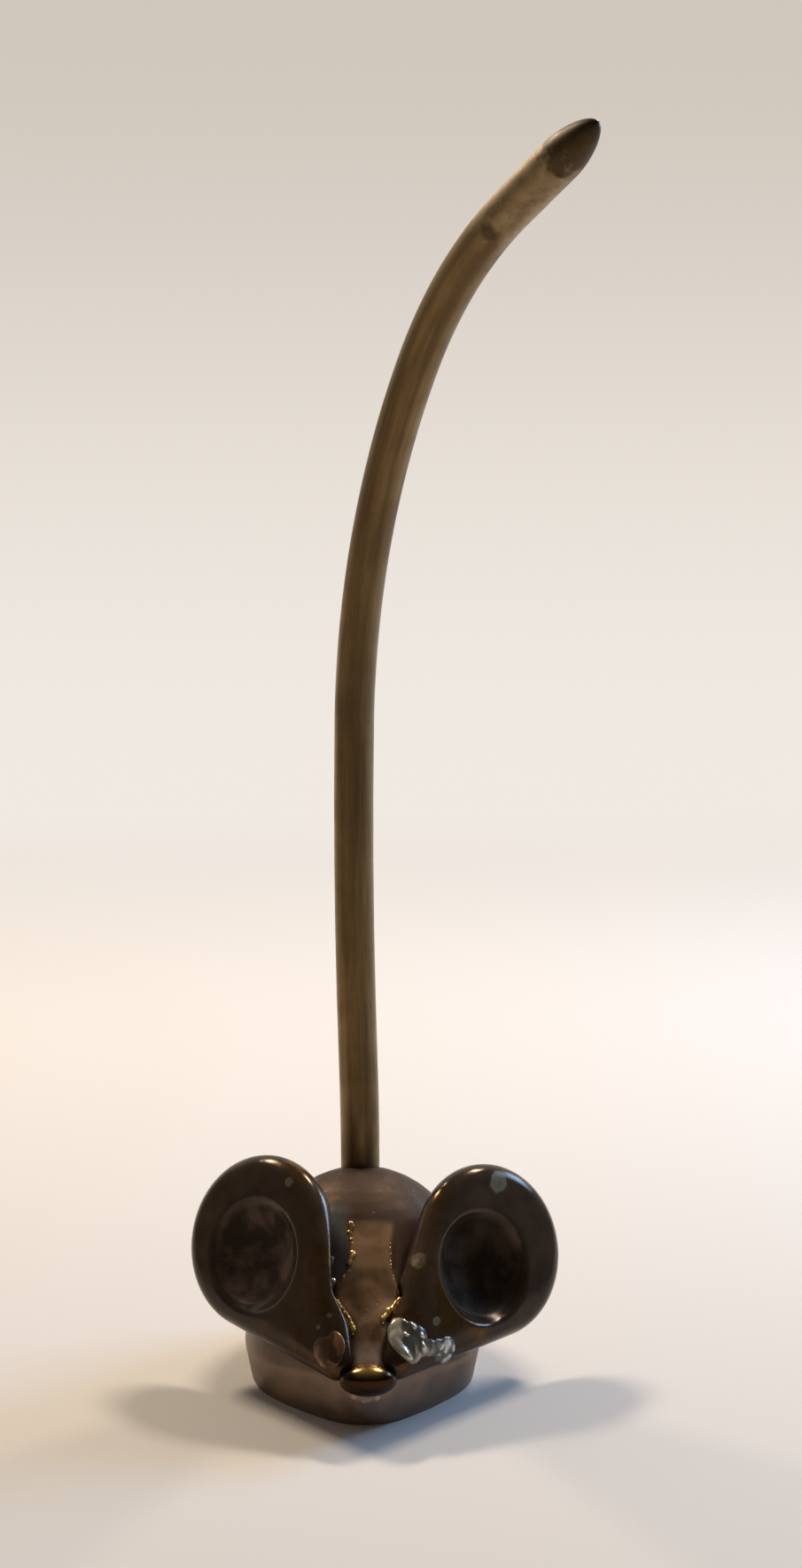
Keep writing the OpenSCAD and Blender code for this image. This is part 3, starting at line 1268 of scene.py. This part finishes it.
@dataclass
class Lumps:
    """Solder that ran over a surface, such as an eye: a thin film with folds that stand proud of it."""

    RISE = "rise"

    name: str
    centre: Point
    folds: tuple[Fold, ...]
    turn: float
    lean: float
    full_rise: float = 0.26
    wrinkle_size: float = 1.1
    wrinkle_depth: float = 0.08
    look_from: float = 3.0
    sunk: float = 0.25
    grain: float = 0.08
    first_melt: int = 6
    last_melt: int = 3

    def place(self) -> Matrix:
        """Gives the lumps' own frame, with +Z out of the face and +Y up it."""
        return Bench.facing(self.centre, self.turn, self.lean)

    def fold(self, fold: Fold, carrier: Object) -> Object:
        """Builds one fold on the surface that carries it.

        Args:
            fold: The fold.
            carrier: The mesh that carries it, in millimetres.

        Returns:
            The fold: a ball sunk so far that the fold's size and rise are left above the surface.
        """
        place = self.place()
        turn = place.to_3x3()
        eye = place @ Vector((fold.across, fold.up, self.look_from))
        found, point, normal, _ = carrier.ray_cast(eye, turn @ -UP)
        if not found:
            point, normal = carrier.closest_point_on_mesh(place @ Vector((fold.across, fold.up, 0.0)))[1:3]
        outward = (normal + turn @ UP).normalized()
        across = (turn @ Vector((0.0, 1.0, 0.0))).cross(outward).normalized()
        axes = Matrix((across, outward.cross(across), outward)).transposed().to_4x4()
        slant = Matrix.Rotation(math.radians(fold.slant), 4, "Z")
        depth = 2 * fold.rise + self.sunk
        spread = math.sqrt(1.0 - (1.0 - fold.rise / depth) ** 2)
        radii = (fold.half_width / spread, fold.half_length / spread, depth)
        middle = point + outward * (fold.rise - depth)
        return Bench.ball("fold", Matrix.Translation(middle) @ axes @ slant, radii)

    def build(self, carrier: Object) -> Object:
        """Builds the film with its folds.

        Args:
            carrier: The mesh that carries them, in millimetres.

        Returns:
            The lumps, in millimetres, with their rise over the carrier as an attribute.
        """
        lumps = Bench.fuse(self.name, [self.fold(fold, carrier) for fold in self.folds], self.grain)
        Bench.soften(lumps, self.first_melt)
        Bench.crumple(lumps, self.wrinkle_size, self.wrinkle_depth)
        Bench.soften(lumps, self.last_melt)
        rises = []
        for vertex in lumps.data.vertices:
            point, normal = carrier.closest_point_on_mesh(vertex.co)[1:3]
            rises.append((vertex.co - point).dot(normal))
        Bench.paint(lumps, self.RISE, np.clip(np.array(rises) / self.full_rise, 0.0, 1.0))
        return lumps


@dataclass
class Tail:
    """The spike: a round rod, straight in its socket, bent above and tapered at the tip."""

    STRAIGHT = "straight_place"

    radius: float = 2.0
    behind: float = 6.5
    foot: float = 9.08
    bend_from: float = 19.38
    heading: float = 58.0
    bends: tuple[tuple[float, float], ...] = ((180.0, -3.4), (400.0, 5.0), (68.0, 32.0), (38.0, 29.0))
    end_length: float = 7.6
    tip_length: float = 5.5
    tip_fullness: float = 1.7
    tip_steps: int = 18
    tip_reach: float = 0.985
    least_steps: int = 4
    sides: int = 64
    weld: float = 0.001

    def ahead(self) -> Vector:
        """Gives the level direction that the curl points in."""
        angle = math.radians(self.heading)
        return Vector((math.cos(angle), -math.sin(angle), 0.0))

    def build(self) -> Object:
        """Builds the rod: a ring drawn up, spun round each bend and drawn to a tip.

        Returns:
            The rod, in millimetres, with its straightened coordinates as an attribute.
        """
        across = self.ahead().cross(UP)
        here, direction = Vector((0.0, self.behind, self.foot)), UP.copy()
        path = [(0.0, here.copy(), direction.copy())]
        ring = bpy.ops.mesh.primitive_circle_add
        rod = Bench.add(ring, "tail", Matrix.Translation(here), vertices=self.sides, radius=self.radius)
        bpy.ops.object.mode_set(mode="EDIT")
        bpy.ops.mesh.select_all(action="SELECT")
        here = self._draw(here, direction, self.bend_from - self.foot, path)
        for radius, turn in self.bends:
            inward = across.cross(direction) * -math.copysign(1.0, turn)
            middle = here + inward * radius
            steps = max(self.least_steps, round(abs(turn)))
            bpy.ops.mesh.spin(
                steps=steps, angle=-math.radians(turn), center=middle, axis=-across, dupli=False
            )
            for step in range(1, steps + 1):
                part = Matrix.Rotation(math.radians(turn) * step / steps, 3, -across)
                place = middle + part @ (here - middle)
                path.append((path[-1][0] + (place - path[-1][1]).length, place, part @ direction))
            here, direction = path[-1][1].copy(), path[-1][2].copy()
        here = self._draw(here, direction, self.end_length, path)
        self._taper(here, direction, path)
        bpy.ops.mesh.select_all(action="SELECT")
        bpy.ops.mesh.remove_doubles(threshold=self.weld)
        bpy.ops.mesh.fill_holes(sides=0)
        bpy.ops.mesh.normals_make_consistent(inside=False)
        bpy.ops.object.mode_set(mode="OBJECT")
        self._straighten(rod, path)
        return rod

    def _draw(self, here: Vector, direction: Vector, length: float, path: list) -> Vector:
        """Draws the selected ring straight on.

        Args:
            here: The ring's centre.
            direction: The way it goes.
            length: How far.
            path: The rod's middle line so far, which grows.

        Returns:
            The ring's new centre.
        """
        steps = max(1, round(length))
        for _ in range(steps):
            bpy.ops.mesh.extrude_region_move(TRANSFORM_OT_translate={"value": direction * (length / steps)})
            here = here + direction * (length / steps)
            path.append((path[-1][0] + length / steps, here.copy(), direction.copy()))
        return here

    def _taper(self, here: Vector, direction: Vector, path: list) -> None:
        """Draws the selected ring to a rounded tip.

        Args:
            here: The ring's centre.
            direction: The way it goes.
            path: The rod's middle line so far, which grows.
        """
        done, width = 0.0, 1.0
        for step in range(1, self.tip_steps + 1):
            share = math.sin(math.pi / 2 * min(step / self.tip_steps, self.tip_reach))
            next_width = (1.0 - share**self.tip_fullness) ** (1.0 / self.tip_fullness)
            onward = direction * (share - done) * self.tip_length
            bpy.ops.mesh.extrude_region_move(TRANSFORM_OT_translate={"value": onward})
            here = here + onward
            factor = next_width / width
            bpy.ops.transform.resize(value=(factor, factor, factor), center_override=here)
            path.append((path[-1][0] + onward.length, here.copy(), direction.copy()))
            done, width = share, next_width

    def _straighten(self, rod: Object, path: list) -> None:
        """Stores where each point would lie if the rod were straight, for patterns along it.

        Args:
            rod: The finished rod.
            path: The distance, place and direction of each step of its middle line.
        """
        points = Bench.points(rod)
        places = np.array([step[1] for step in path])
        nearest = np.argmin(((points[:, None, :] - places[None, :, :]) ** 2).sum(-1), axis=1)
        along = np.array([step[0] for step in path])[nearest]
        directions = np.array([step[2] for step in path])[nearest]
        offset = points - places[nearest]
        across = np.array(self.ahead().cross(UP))
        sideways = np.cross(across, directions)
        straight = np.stack(
            [(offset * sideways).sum(1), offset @ across, along + (offset * directions).sum(1)], axis=1
        )
        attribute = rod.data.attributes.new(self.STRAIGHT, "FLOAT_VECTOR", "POINT")
        attribute.data.foreach_set("vector", (straight * MM).astype(np.float32).ravel())


@dataclass
class Braze:
    """A run of braze along an edge of the face: loose beads, or a lip where they ran together."""

    WIDTHS = (0.55, 1.3)
    LENGTHS = (0.9, 2.0)
    SLANTS = (-0.5, 0.5)

    name: str
    side: Side
    outline: Outline
    finish: MetalFinish
    run: tuple[float, float]
    spacing: float
    size: float
    stray: float
    rise: float
    melt: int
    seed: int
    grain: float = 0.07

    def build(self, casting: Casting, carrier: Object) -> Object:
        """Builds the beads on the casting's surface and melts those that touch.

        Args:
            casting: The casting's sizes.
            carrier: The casting's mesh, in millimetres.

        Returns:
            The beads as one piece, in millimetres.
        """
        chance = random.Random(self.seed)
        beads = []
        start, stop = self.run
        first, last = (casting.edge(self.outline, self.side, share) for share in self.run)
        count = max(2, round((last - first).length / self.spacing))
        for step in range(count + 1):
            share = start + (stop - start) * step / count
            guess = casting.edge(self.outline, self.side, share)
            guess += Vector([chance.uniform(-self.stray, self.stray) for _ in range(3)])
            place, normal = carrier.closest_point_on_mesh(guess)[1:3]
            wide = self.size * chance.uniform(*self.WIDTHS)
            turn = normal.to_track_quat("Z", "Y").to_matrix().to_4x4()
            slant = Matrix.Rotation(chance.uniform(*self.SLANTS), 4, "Z")
            radii = (wide, wide * chance.uniform(*self.LENGTHS), wide * self.rise)
            beads.append(Bench.pebble("bead", Matrix.Translation(place) @ turn @ slant, radii))
        braze = Bench.fuse(self.name, beads, self.grain)
        Bench.soften(braze, self.melt)
        return braze


@dataclass(frozen=True)
class Lamp:
    """One lamp that faces the mouse: its length and width in millimetres and its power in watts."""

    name: str
    place: Point
    size: tuple[float, float]
    power: float
    colour: Colour
    aim: Point = (0.0, -3.0, 8.0)

    def hang(self) -> None:
        """Adds the lamp to the scene, with its length level."""
        Bench.clear()
        bpy.ops.object.light_add(type="AREA", location=Vector(self.place) * MM)
        lamp = bpy.context.active_object
        lamp.name = self.name
        lamp.rotation_euler = (Vector(self.aim) - Vector(self.place)).to_track_quat("-Z", "Y").to_euler()
        lamp.data.shape = "RECTANGLE"
        lamp.data.size, lamp.data.size_y = (side * MM for side in self.size)
        lamp.data.energy = self.power
        lamp.data.color = self.colour


@dataclass
class Stage:
    """The pale floor that sweeps up behind the mouse, the lamps and the camera."""

    lamps: tuple[Lamp, ...] = (
        Lamp("left_lamp", (-170.0, 212.0, 342.0), (110.0, 40.0), 0.9, (1.0, 0.86, 0.69)),
        Lamp("right_lamp", (160.0, 204.0, 353.0), (110.0, 40.0), 0.88, (1.0, 0.87, 0.73)),
        Lamp("window", (348.0, 165.0, 195.0), (200.0, 90.0), 1.05, (0.3, 0.57, 1.0)),
    )
    room_front: Colour = (0.14, 0.118, 0.1)
    room_back: Colour = (0.5, 0.47, 0.42)
    room_strength: float = 0.45
    room_from: float = -0.9
    room_to: float = 0.6
    floor_near: float = -600.0
    floor_far: float = 420.0
    half_width: float = 900.0
    cove_radius: float = 220.0
    cove_steps: int = 24
    wall_height: float = 500.0
    floor_roughness: float = 0.75
    floor_gloss: float = 0.2
    glow_from: float = 100.0
    glow_to: float = 350.0
    haze_from: float = -20.0
    haze_to: float = 260.0
    sensor_height: float = 36.0
    clip_near: float = 10.0
    focal_pixels: float = 2507.0
    pitch: float = 8.5
    azimuth: float = 2.8
    floor_tone: Colour = (0.84, 0.79, 0.735)
    horizon: Colour = (0.88, 0.82, 0.76)
    high_wall: Colour = (0.63, 0.575, 0.505)
    foot_seen: tuple[float, float] = (406.5, 1310.0)
    foot_place: Point = (0.0, 6.5, 19.5)
    foot_distance: float = 230.0

    def sweep(self) -> None:
        """Builds the floor and the backdrop as one curved sheet."""
        width, depth = 2 * self.half_width, self.floor_far - self.floor_near
        middle = (self.floor_near + self.floor_far) / 2
        place = Matrix.Translation((0.0, middle, 0.0)) @ Matrix.Diagonal((width, depth, 1.0, 1.0))
        floor = Bench.add(bpy.ops.mesh.primitive_plane_add, "floor", place, size=1.0)
        for vertex in floor.data.vertices:
            vertex.select = vertex.co.y > middle
        for edge in floor.data.edges:
            edge.select = all(floor.data.vertices[corner].select for corner in edge.vertices)
        for face in floor.data.polygons:
            face.select = False
        bpy.ops.object.mode_set(mode="EDIT")
        bpy.ops.mesh.select_mode(type="EDGE")
        bpy.ops.mesh.spin(
            steps=self.cove_steps,
            angle=-math.pi / 2,
            center=(0.0, self.floor_far, self.cove_radius),
            axis=(1.0, 0.0, 0.0),
            dupli=False,
        )
        bpy.ops.mesh.extrude_region_move(TRANSFORM_OT_translate={"value": (0.0, 0.0, self.wall_height)})
        bpy.ops.mesh.select_all(action="SELECT")
        bpy.ops.mesh.normals_make_consistent(inside=False)
        bpy.ops.mesh.select_mode(type="VERT")
        bpy.ops.object.mode_set(mode="OBJECT")
        floor.scale = (MM, MM, MM)
        bpy.ops.object.transform_apply(location=True, rotation=True, scale=True)
        bpy.ops.object.shade_smooth()
        floor.data.materials.append(self.paper())

    def paper(self) -> Material:
        """Makes the pale sheet's finish: it takes shadows near the mouse and glows evenly far behind.

        Returns:
            The new material.
        """
        material = bpy.data.materials.new("pale_sheet")
        material.use_nodes = True
        sheet = NodeSheet(material.node_tree)
        place = sheet.add("SeparateXYZ", {0: sheet.add("TexCoord").outputs["Object"]})
        seen = sheet.add("LightPath")
        ray = sheet.maths("MAXIMUM", seen.outputs["Is Camera Ray"], seen.outputs["Is Glossy Ray"])
        ray = sheet.maths("MAXIMUM", ray, seen.outputs["Is Transmission Ray"])
        far = sheet.times(ray, sheet.span(place.outputs["Y"], self.glow_from, self.glow_to))
        high = sheet.span(place.outputs["Z"], self.haze_from, self.haze_to)
        haze = sheet.blend(high, self.horizon, self.high_wall)
        glow = sheet.add("Emission", {"Color": haze, "Strength": 1.0})
        shader = material.node_tree.nodes["Principled BSDF"]
        shader.inputs["Base Color"].default_value = (*self.floor_tone, 1.0)
        shader.inputs["Roughness"].default_value = self.floor_roughness
        shader.inputs["Specular IOR Level"].default_value = self.floor_gloss
        mixed = sheet.add("MixShader", {0: far, 1: shader.outputs[0], 2: glow.outputs[0]})
        surface = material.node_tree.nodes["Material Output"].inputs["Surface"]
        material.node_tree.links.new(mixed.outputs[0], surface)
        return material

    def light(self) -> None:
        """Hangs the lamps and sets the room's own light."""
        for lamp in self.lamps:
            lamp.hang()
        world = bpy.data.worlds.new("room")
        bpy.context.scene.world = world
        world.use_nodes = True
        sheet = NodeSheet(world.node_tree)
        direction = sheet.add("TexCoord").outputs["Generated"]
        depth = sheet.add("SeparateXYZ", {0: direction}).outputs["Y"]
        tone = sheet.blend(sheet.step(depth, self.room_from, self.room_to), self.room_front, self.room_back)
        background = world.node_tree.nodes["Background"]
        world.node_tree.links.new(tone, background.inputs["Color"])
        background.inputs["Strength"].default_value = self.room_strength

    def camera(self) -> None:
        """Sets the camera where the photograph was taken."""
        pitch, azimuth = math.radians(self.pitch), math.radians(self.azimuth)
        ahead = Vector(
            (math.sin(azimuth) * math.cos(pitch), math.cos(azimuth) * math.cos(pitch), -math.sin(pitch))
        )
        right = Vector((math.cos(azimuth), -math.sin(azimuth), 0.0))
        up = right.cross(ahead)
        across = (self.foot_seen[0] - PHOTO_SIZE[0] / 2) / self.focal_pixels
        down = (self.foot_seen[1] - PHOTO_SIZE[1] / 2) / self.focal_pixels
        eye = Vector(self.foot_place) - self.foot_distance * (ahead + across * right - down * up)
        Bench.clear()
        bpy.ops.object.camera_add()
        camera = bpy.context.active_object
        camera.name = "camera"
        turn = Matrix((right, up, -ahead)).transposed().to_4x4()
        camera.matrix_world = Matrix.Translation(eye * MM) @ turn
        camera.data.sensor_fit = "VERTICAL"
        camera.data.sensor_height = self.sensor_height
        camera.data.lens = self.focal_pixels / PHOTO_SIZE[1] * self.sensor_height
        camera.data.clip_start = self.clip_near * MM
        bpy.context.scene.camera = camera

    def build(self) -> None:
        """Builds the whole stage."""
        self.camera()
        self.sweep()
        self.light()
        bpy.context.scene.view_settings.view_transform = "Standard"


EAR_PATCHES = {
    Side.LEFT: (
        WearAndGlint((-7.3, -4.0, 20.8), 0.5),
        WearAndGlint((-3.6, -13.4, 10.75), 0.3),
        WearAndGlint((-4.6, -13.6, 9.7), 0.28),
    ),
    Side.RIGHT: (
        WearAndGlint((13.6, -0.9, 19.5), 1.3),
        WearAndGlint((5.1, -9.2, 14.6), 1.0),
        WearAndGlint((6.8, -12.3, 9.5), 0.5),
    ),
}
CASTING_FINISH = CastingFinish(
    "aged_casting",
    deep=(0.198, 0.14, 0.106),
    warm=(0.288, 0.204, 0.144),
    rubbed_and_sheen=(0.3, 0.2, 0.12),
    # Painted highlight: the patch tone is the pale glint on the ledge under the nose.
    worn_and_glint=(0.42, 0.3, 0.23),
    roughness=(0.4, 0.55),
    metal=0.85,
    # Painted highlights: three pale glints along the ledge under the nose.
    patches=(
        WearAndGlint((-1.4, -16.9, 4.0), 0.3),
        WearAndGlint((0.9, -17.0, 3.9), 0.3),
        WearAndGlint((-0.5, -17.2, 3.6), 0.26),
    ),
)
GOLD_FINISH = MetalFinish(
    "braze_gold",
    deep=(0.36, 0.2, 0.07),
    warm=(0.8, 0.52, 0.2),
    rubbed_and_sheen=(0.9, 0.65, 0.32),
    roughness=(0.16, 0.3),
)
SILVER_FINISH = MetalFinish(
    "braze_silver",
    deep=(0.12, 0.12, 0.125),
    warm=(0.5, 0.5, 0.5),
    rubbed_and_sheen=(0.8, 0.8, 0.78),
    roughness=(0.15, 0.35),
)
NOSE_FINISH = NoseFinish(
    "polished_nose",
    deep=(0.03, 0.017, 0.007),
    warm=(0.048, 0.028, 0.012),
    rubbed_and_sheen=(0.46, 0.28, 0.09),
    roughness=(0.2, 0.24),
    relief=0.001,
)
ROD_FINISH = RodFinish(
    "drawn_rod",
    deep=(0.14, 0.087, 0.036),
    warm=(0.28, 0.178, 0.074),
    rubbed_and_sheen=(0.34, 0.25, 0.135),
    worn_and_glint=(0.04, 0.025, 0.011),
    roughness=(0.4, 0.55),
    metal=0.68,
    gloss=0.25,
    relief=0.015,
)
# Painted light and shade for each dish: paler in the shallow left one for its pale reflections, near black
# in the deep right one.
DISH_LIGHTING = {Side.LEFT: (0.13, 0.09, 0.07), Side.RIGHT: (0.055, 0.04, 0.027)}
DARK_SOLDER = SolderFinish(
    "dark_solder",
    deep=(0.066, 0.036, 0.018),
    warm=(0.105, 0.056, 0.028),
    rubbed_and_sheen=(0.38, 0.21, 0.12),
    roughness=(0.2, 0.32),
    metal=0.6,
    relief=0.01,
)
PALE_SOLDER = SolderFinish(
    "pale_solder",
    deep=(0.135, 0.12, 0.096),
    warm=(0.24, 0.212, 0.17),
    # The pale tone is the lid's own colour and also the painted glints on the small folds.
    rubbed_and_sheen=(0.85, 0.77, 0.6),
    roughness=(0.14, 0.26),
    metal=0.65,
    relief=0.01,
)
GREY_SOLDER = SolderFinish(
    "grey_solder",
    deep=(0.075, 0.066, 0.056),
    warm=(0.15, 0.136, 0.118),
    # The pale tone is the smear's own colour and also a painted glint.
    rubbed_and_sheen=(0.85, 0.85, 0.8),
    roughness=(0.2, 0.36),
    metal=0.5,
    relief=0.01,
)
LEFT_EYE = Lumps(
    "left_eye",
    (-3.8, -15.0, 8.4),
    (
        Fold(0.1, -0.1, 1.0, 1.0),
        Fold(0.4, -0.8, 0.8, 0.8),
        Fold(1.1, 0.15, 0.65, 0.22, -10.0, 0.2),
        Fold(1.5, 0.1, 0.32, 0.18, -15.0, 0.18),
        Fold(-0.85, -0.55, 0.8, 0.28, 12.0, 0.2),
        Fold(0.7, -1.3, 0.6, 0.2, 80.0, 0.16),
        Fold(0.1, 0.6, 0.6, 0.18, 85.0, 0.12),
    ),
    turn=-32.0,
    lean=31.0,
)
RIGHT_EYE = Lumps(
    "right_eye",
    (3.8, -14.9, 8.6),
    (
        Fold(0.0, 1.2, 0.8, 0.8),
        Fold(0.0, 0.2, 0.9, 0.9),
        Fold(0.2, -0.8, 0.8, 0.8),
        Fold(1.2, 0.6, 0.8, 0.8),
        Fold(1.4, -0.4, 0.8, 0.8),
        Fold(2.3, -0.6, 0.7, 0.6),
        Fold(-0.45, 1.8, 0.8, 0.35, -18.0, 0.2),
        Fold(-0.8, 0.9, 1.1, 0.5, -2.0, 0.25),
        Fold(-0.9, 0.0, 1.1, 0.55, 12.0, 0.27),
        Fold(-0.7, -0.8, 0.9, 0.48, 28.0, 0.26),
        Fold(-0.4, -1.35, 0.6, 0.36, 45.0, 0.25),
        Fold(0.57, -0.7, 0.7, 0.16, 0.0, 0.19),
        # Painted highlights: these small folds are painted pale as glints.
        Fold(0.03, 0.65, 0.42, 0.22, 50.0, 0.28),
        Fold(1.0, 1.3, 0.52, 0.22, 12.0, 0.28),
        Fold(1.65, 0.3, 0.46, 0.2, 50.0, 0.26),
        Fold(1.55, -0.7, 0.58, 0.3, 8.0, 0.32),
        Fold(0.41, 1.9, 0.42, 0.22, 30.0, 0.18),
    ),
    turn=28.0,
    lean=34.0,
)
CHEEK_LUMP = Lumps(
    "right_cheek_lump",
    (7.78, -12.45, 6.57),
    (
        Fold(0.0, 0.0, 0.85, 0.9, 0.0, 0.1),
        Fold(-1.1, 0.3, 0.7, 0.7),
        Fold(-2.0, 0.6, 0.6, 0.6),
        Fold(-0.85, 0.55, 0.55, 0.28, -40.0, 0.18),
        Fold(0.05, 0.6, 0.55, 0.28, 90.0, 0.18),
        Fold(0.75, 0.1, 0.55, 0.28, 0.0, 0.18),
        Fold(0.25, -0.55, 0.55, 0.3, 70.0, 0.18),
        # Painted highlight: this fold is painted pale as a white glint.
        Fold(-0.37, 0.1, 0.4, 0.24, 20.0, 0.24),
        Fold(-1.25, 0.0, 0.5, 0.22, 70.0, 0.15),
        Fold(-2.0, 0.7, 0.4, 0.18, 60.0, 0.15),
    ),
    turn=42.0,
    lean=-4.0,
    full_rise=0.2,
)


def ear_finish(side: Side) -> EarFinish:
    """Gives an ear's dark finish, with that ear's own worn patches."""
    return EarFinish(
        f"{side.name.lower()}_ear_patina",
        deep=(0.05, 0.032, 0.021),
        warm=(0.074, 0.048, 0.032),
        rubbed_and_sheen=(0.24, 0.13, 0.05),
        roughness=(0.15, 0.24),
        metal=0.35,
        gloss=0.2,
        relief=0.01,
        patches=EAR_PATCHES[side],
        # The dish's painted light and shade.
        dish_lighting=DISH_LIGHTING[side],
    )


def build_mouse() -> None:
    """Builds the casting and everything that is fixed to it."""
    casting = Casting()
    body = casting.build()
    brazes = (
        Braze(
            "left_beads", Side.LEFT, casting.forehead, GOLD_FINISH, run=(0.08, 0.42),
            spacing=0.7, size=0.26, stray=0.2, rise=0.35, melt=2, seed=5,
        ),
        Braze(
            "left_lip", Side.LEFT, casting.forehead, GOLD_FINISH, run=(0.57, 0.79),
            spacing=0.15, size=0.27, stray=0.03, rise=0.8, melt=12, seed=7,
        ),
        Braze(
            "right_lip", Side.RIGHT, casting.forehead, GOLD_FINISH, run=(0.58, 0.73),
            spacing=0.15, size=0.26, stray=0.03, rise=0.8, melt=12, seed=11,
        ),
        Braze(
            "right_seam", Side.RIGHT, casting.forehead, GOLD_FINISH, run=(0.2, 0.55),
            spacing=0.2, size=0.1, stray=0.04, rise=0.5, melt=2, seed=13,
        ),
        Braze(
            "groove_beads", Side.LEFT, casting.groove, SILVER_FINISH, run=(0.2, 0.5),
            spacing=0.9, size=0.4, stray=0.3, rise=0.6, melt=2, seed=17,
        ),
    )
    runs = [(braze.build(casting, body), braze.finish) for braze in brazes]
    Bench.deliver(body, Group.MOUSE, Slot.CASTING, CASTING_FINISH.material(), "body")
    for run, finish in runs:
        Bench.deliver(run, Group.MOUSE, Slot.CASTING, finish.material())
    ears = (
        Ear(
            Side.LEFT, (-10.1, -2.5, 14.2), jowl=(-5.6, -10.3, 7.5),
            turn=40.0, dish_depth=1.7, dish_inward=0.6,
        ),
        Ear(
            Side.RIGHT, (12.5, -2.5, 12.9), jowl=(6.9, -9.6, 7.5),
            turn=35.0, dish_depth=2.4, dish_inward=2.4,
        ),
    )
    pieces = {ear.side: ear.build(casting.parting_tool()) for ear in ears}
    eyes = [
        (eye, eye.build(pieces[side]), finish) for side, eye, finish in (
            (Side.LEFT, LEFT_EYE, DARK_SOLDER),
            (Side.RIGHT, RIGHT_EYE, PALE_SOLDER),
            (Side.RIGHT, CHEEK_LUMP, GREY_SOLDER),
        )
    ]
    for ear in ears:
        Bench.deliver(pieces[ear.side], Group.MOUSE, Slot.EAR, ear_finish(ear.side).material(), ear.name)
    Bench.deliver(Nose().build(), Group.MOUSE, Slot.NOSE, NOSE_FINISH.material(), "nose")
    for eye, piece, finish in eyes:
        nodes = () if eye is CHEEK_LUMP else (eye.name,)
        Bench.deliver(piece, Group.MOUSE, Slot.CASTING, finish.material(), *nodes)


def main() -> None:
    """Builds the stage and the part."""
    logging.basicConfig(level=logging.INFO, format="%(name)s: %(message)s")
    Stage().build()
    build_mouse()
    Bench.deliver(Tail().build(), Group.SPIKE, Slot.ROD, ROD_FINISH.material(), "tail")


if __name__ == "__main__":
    main()
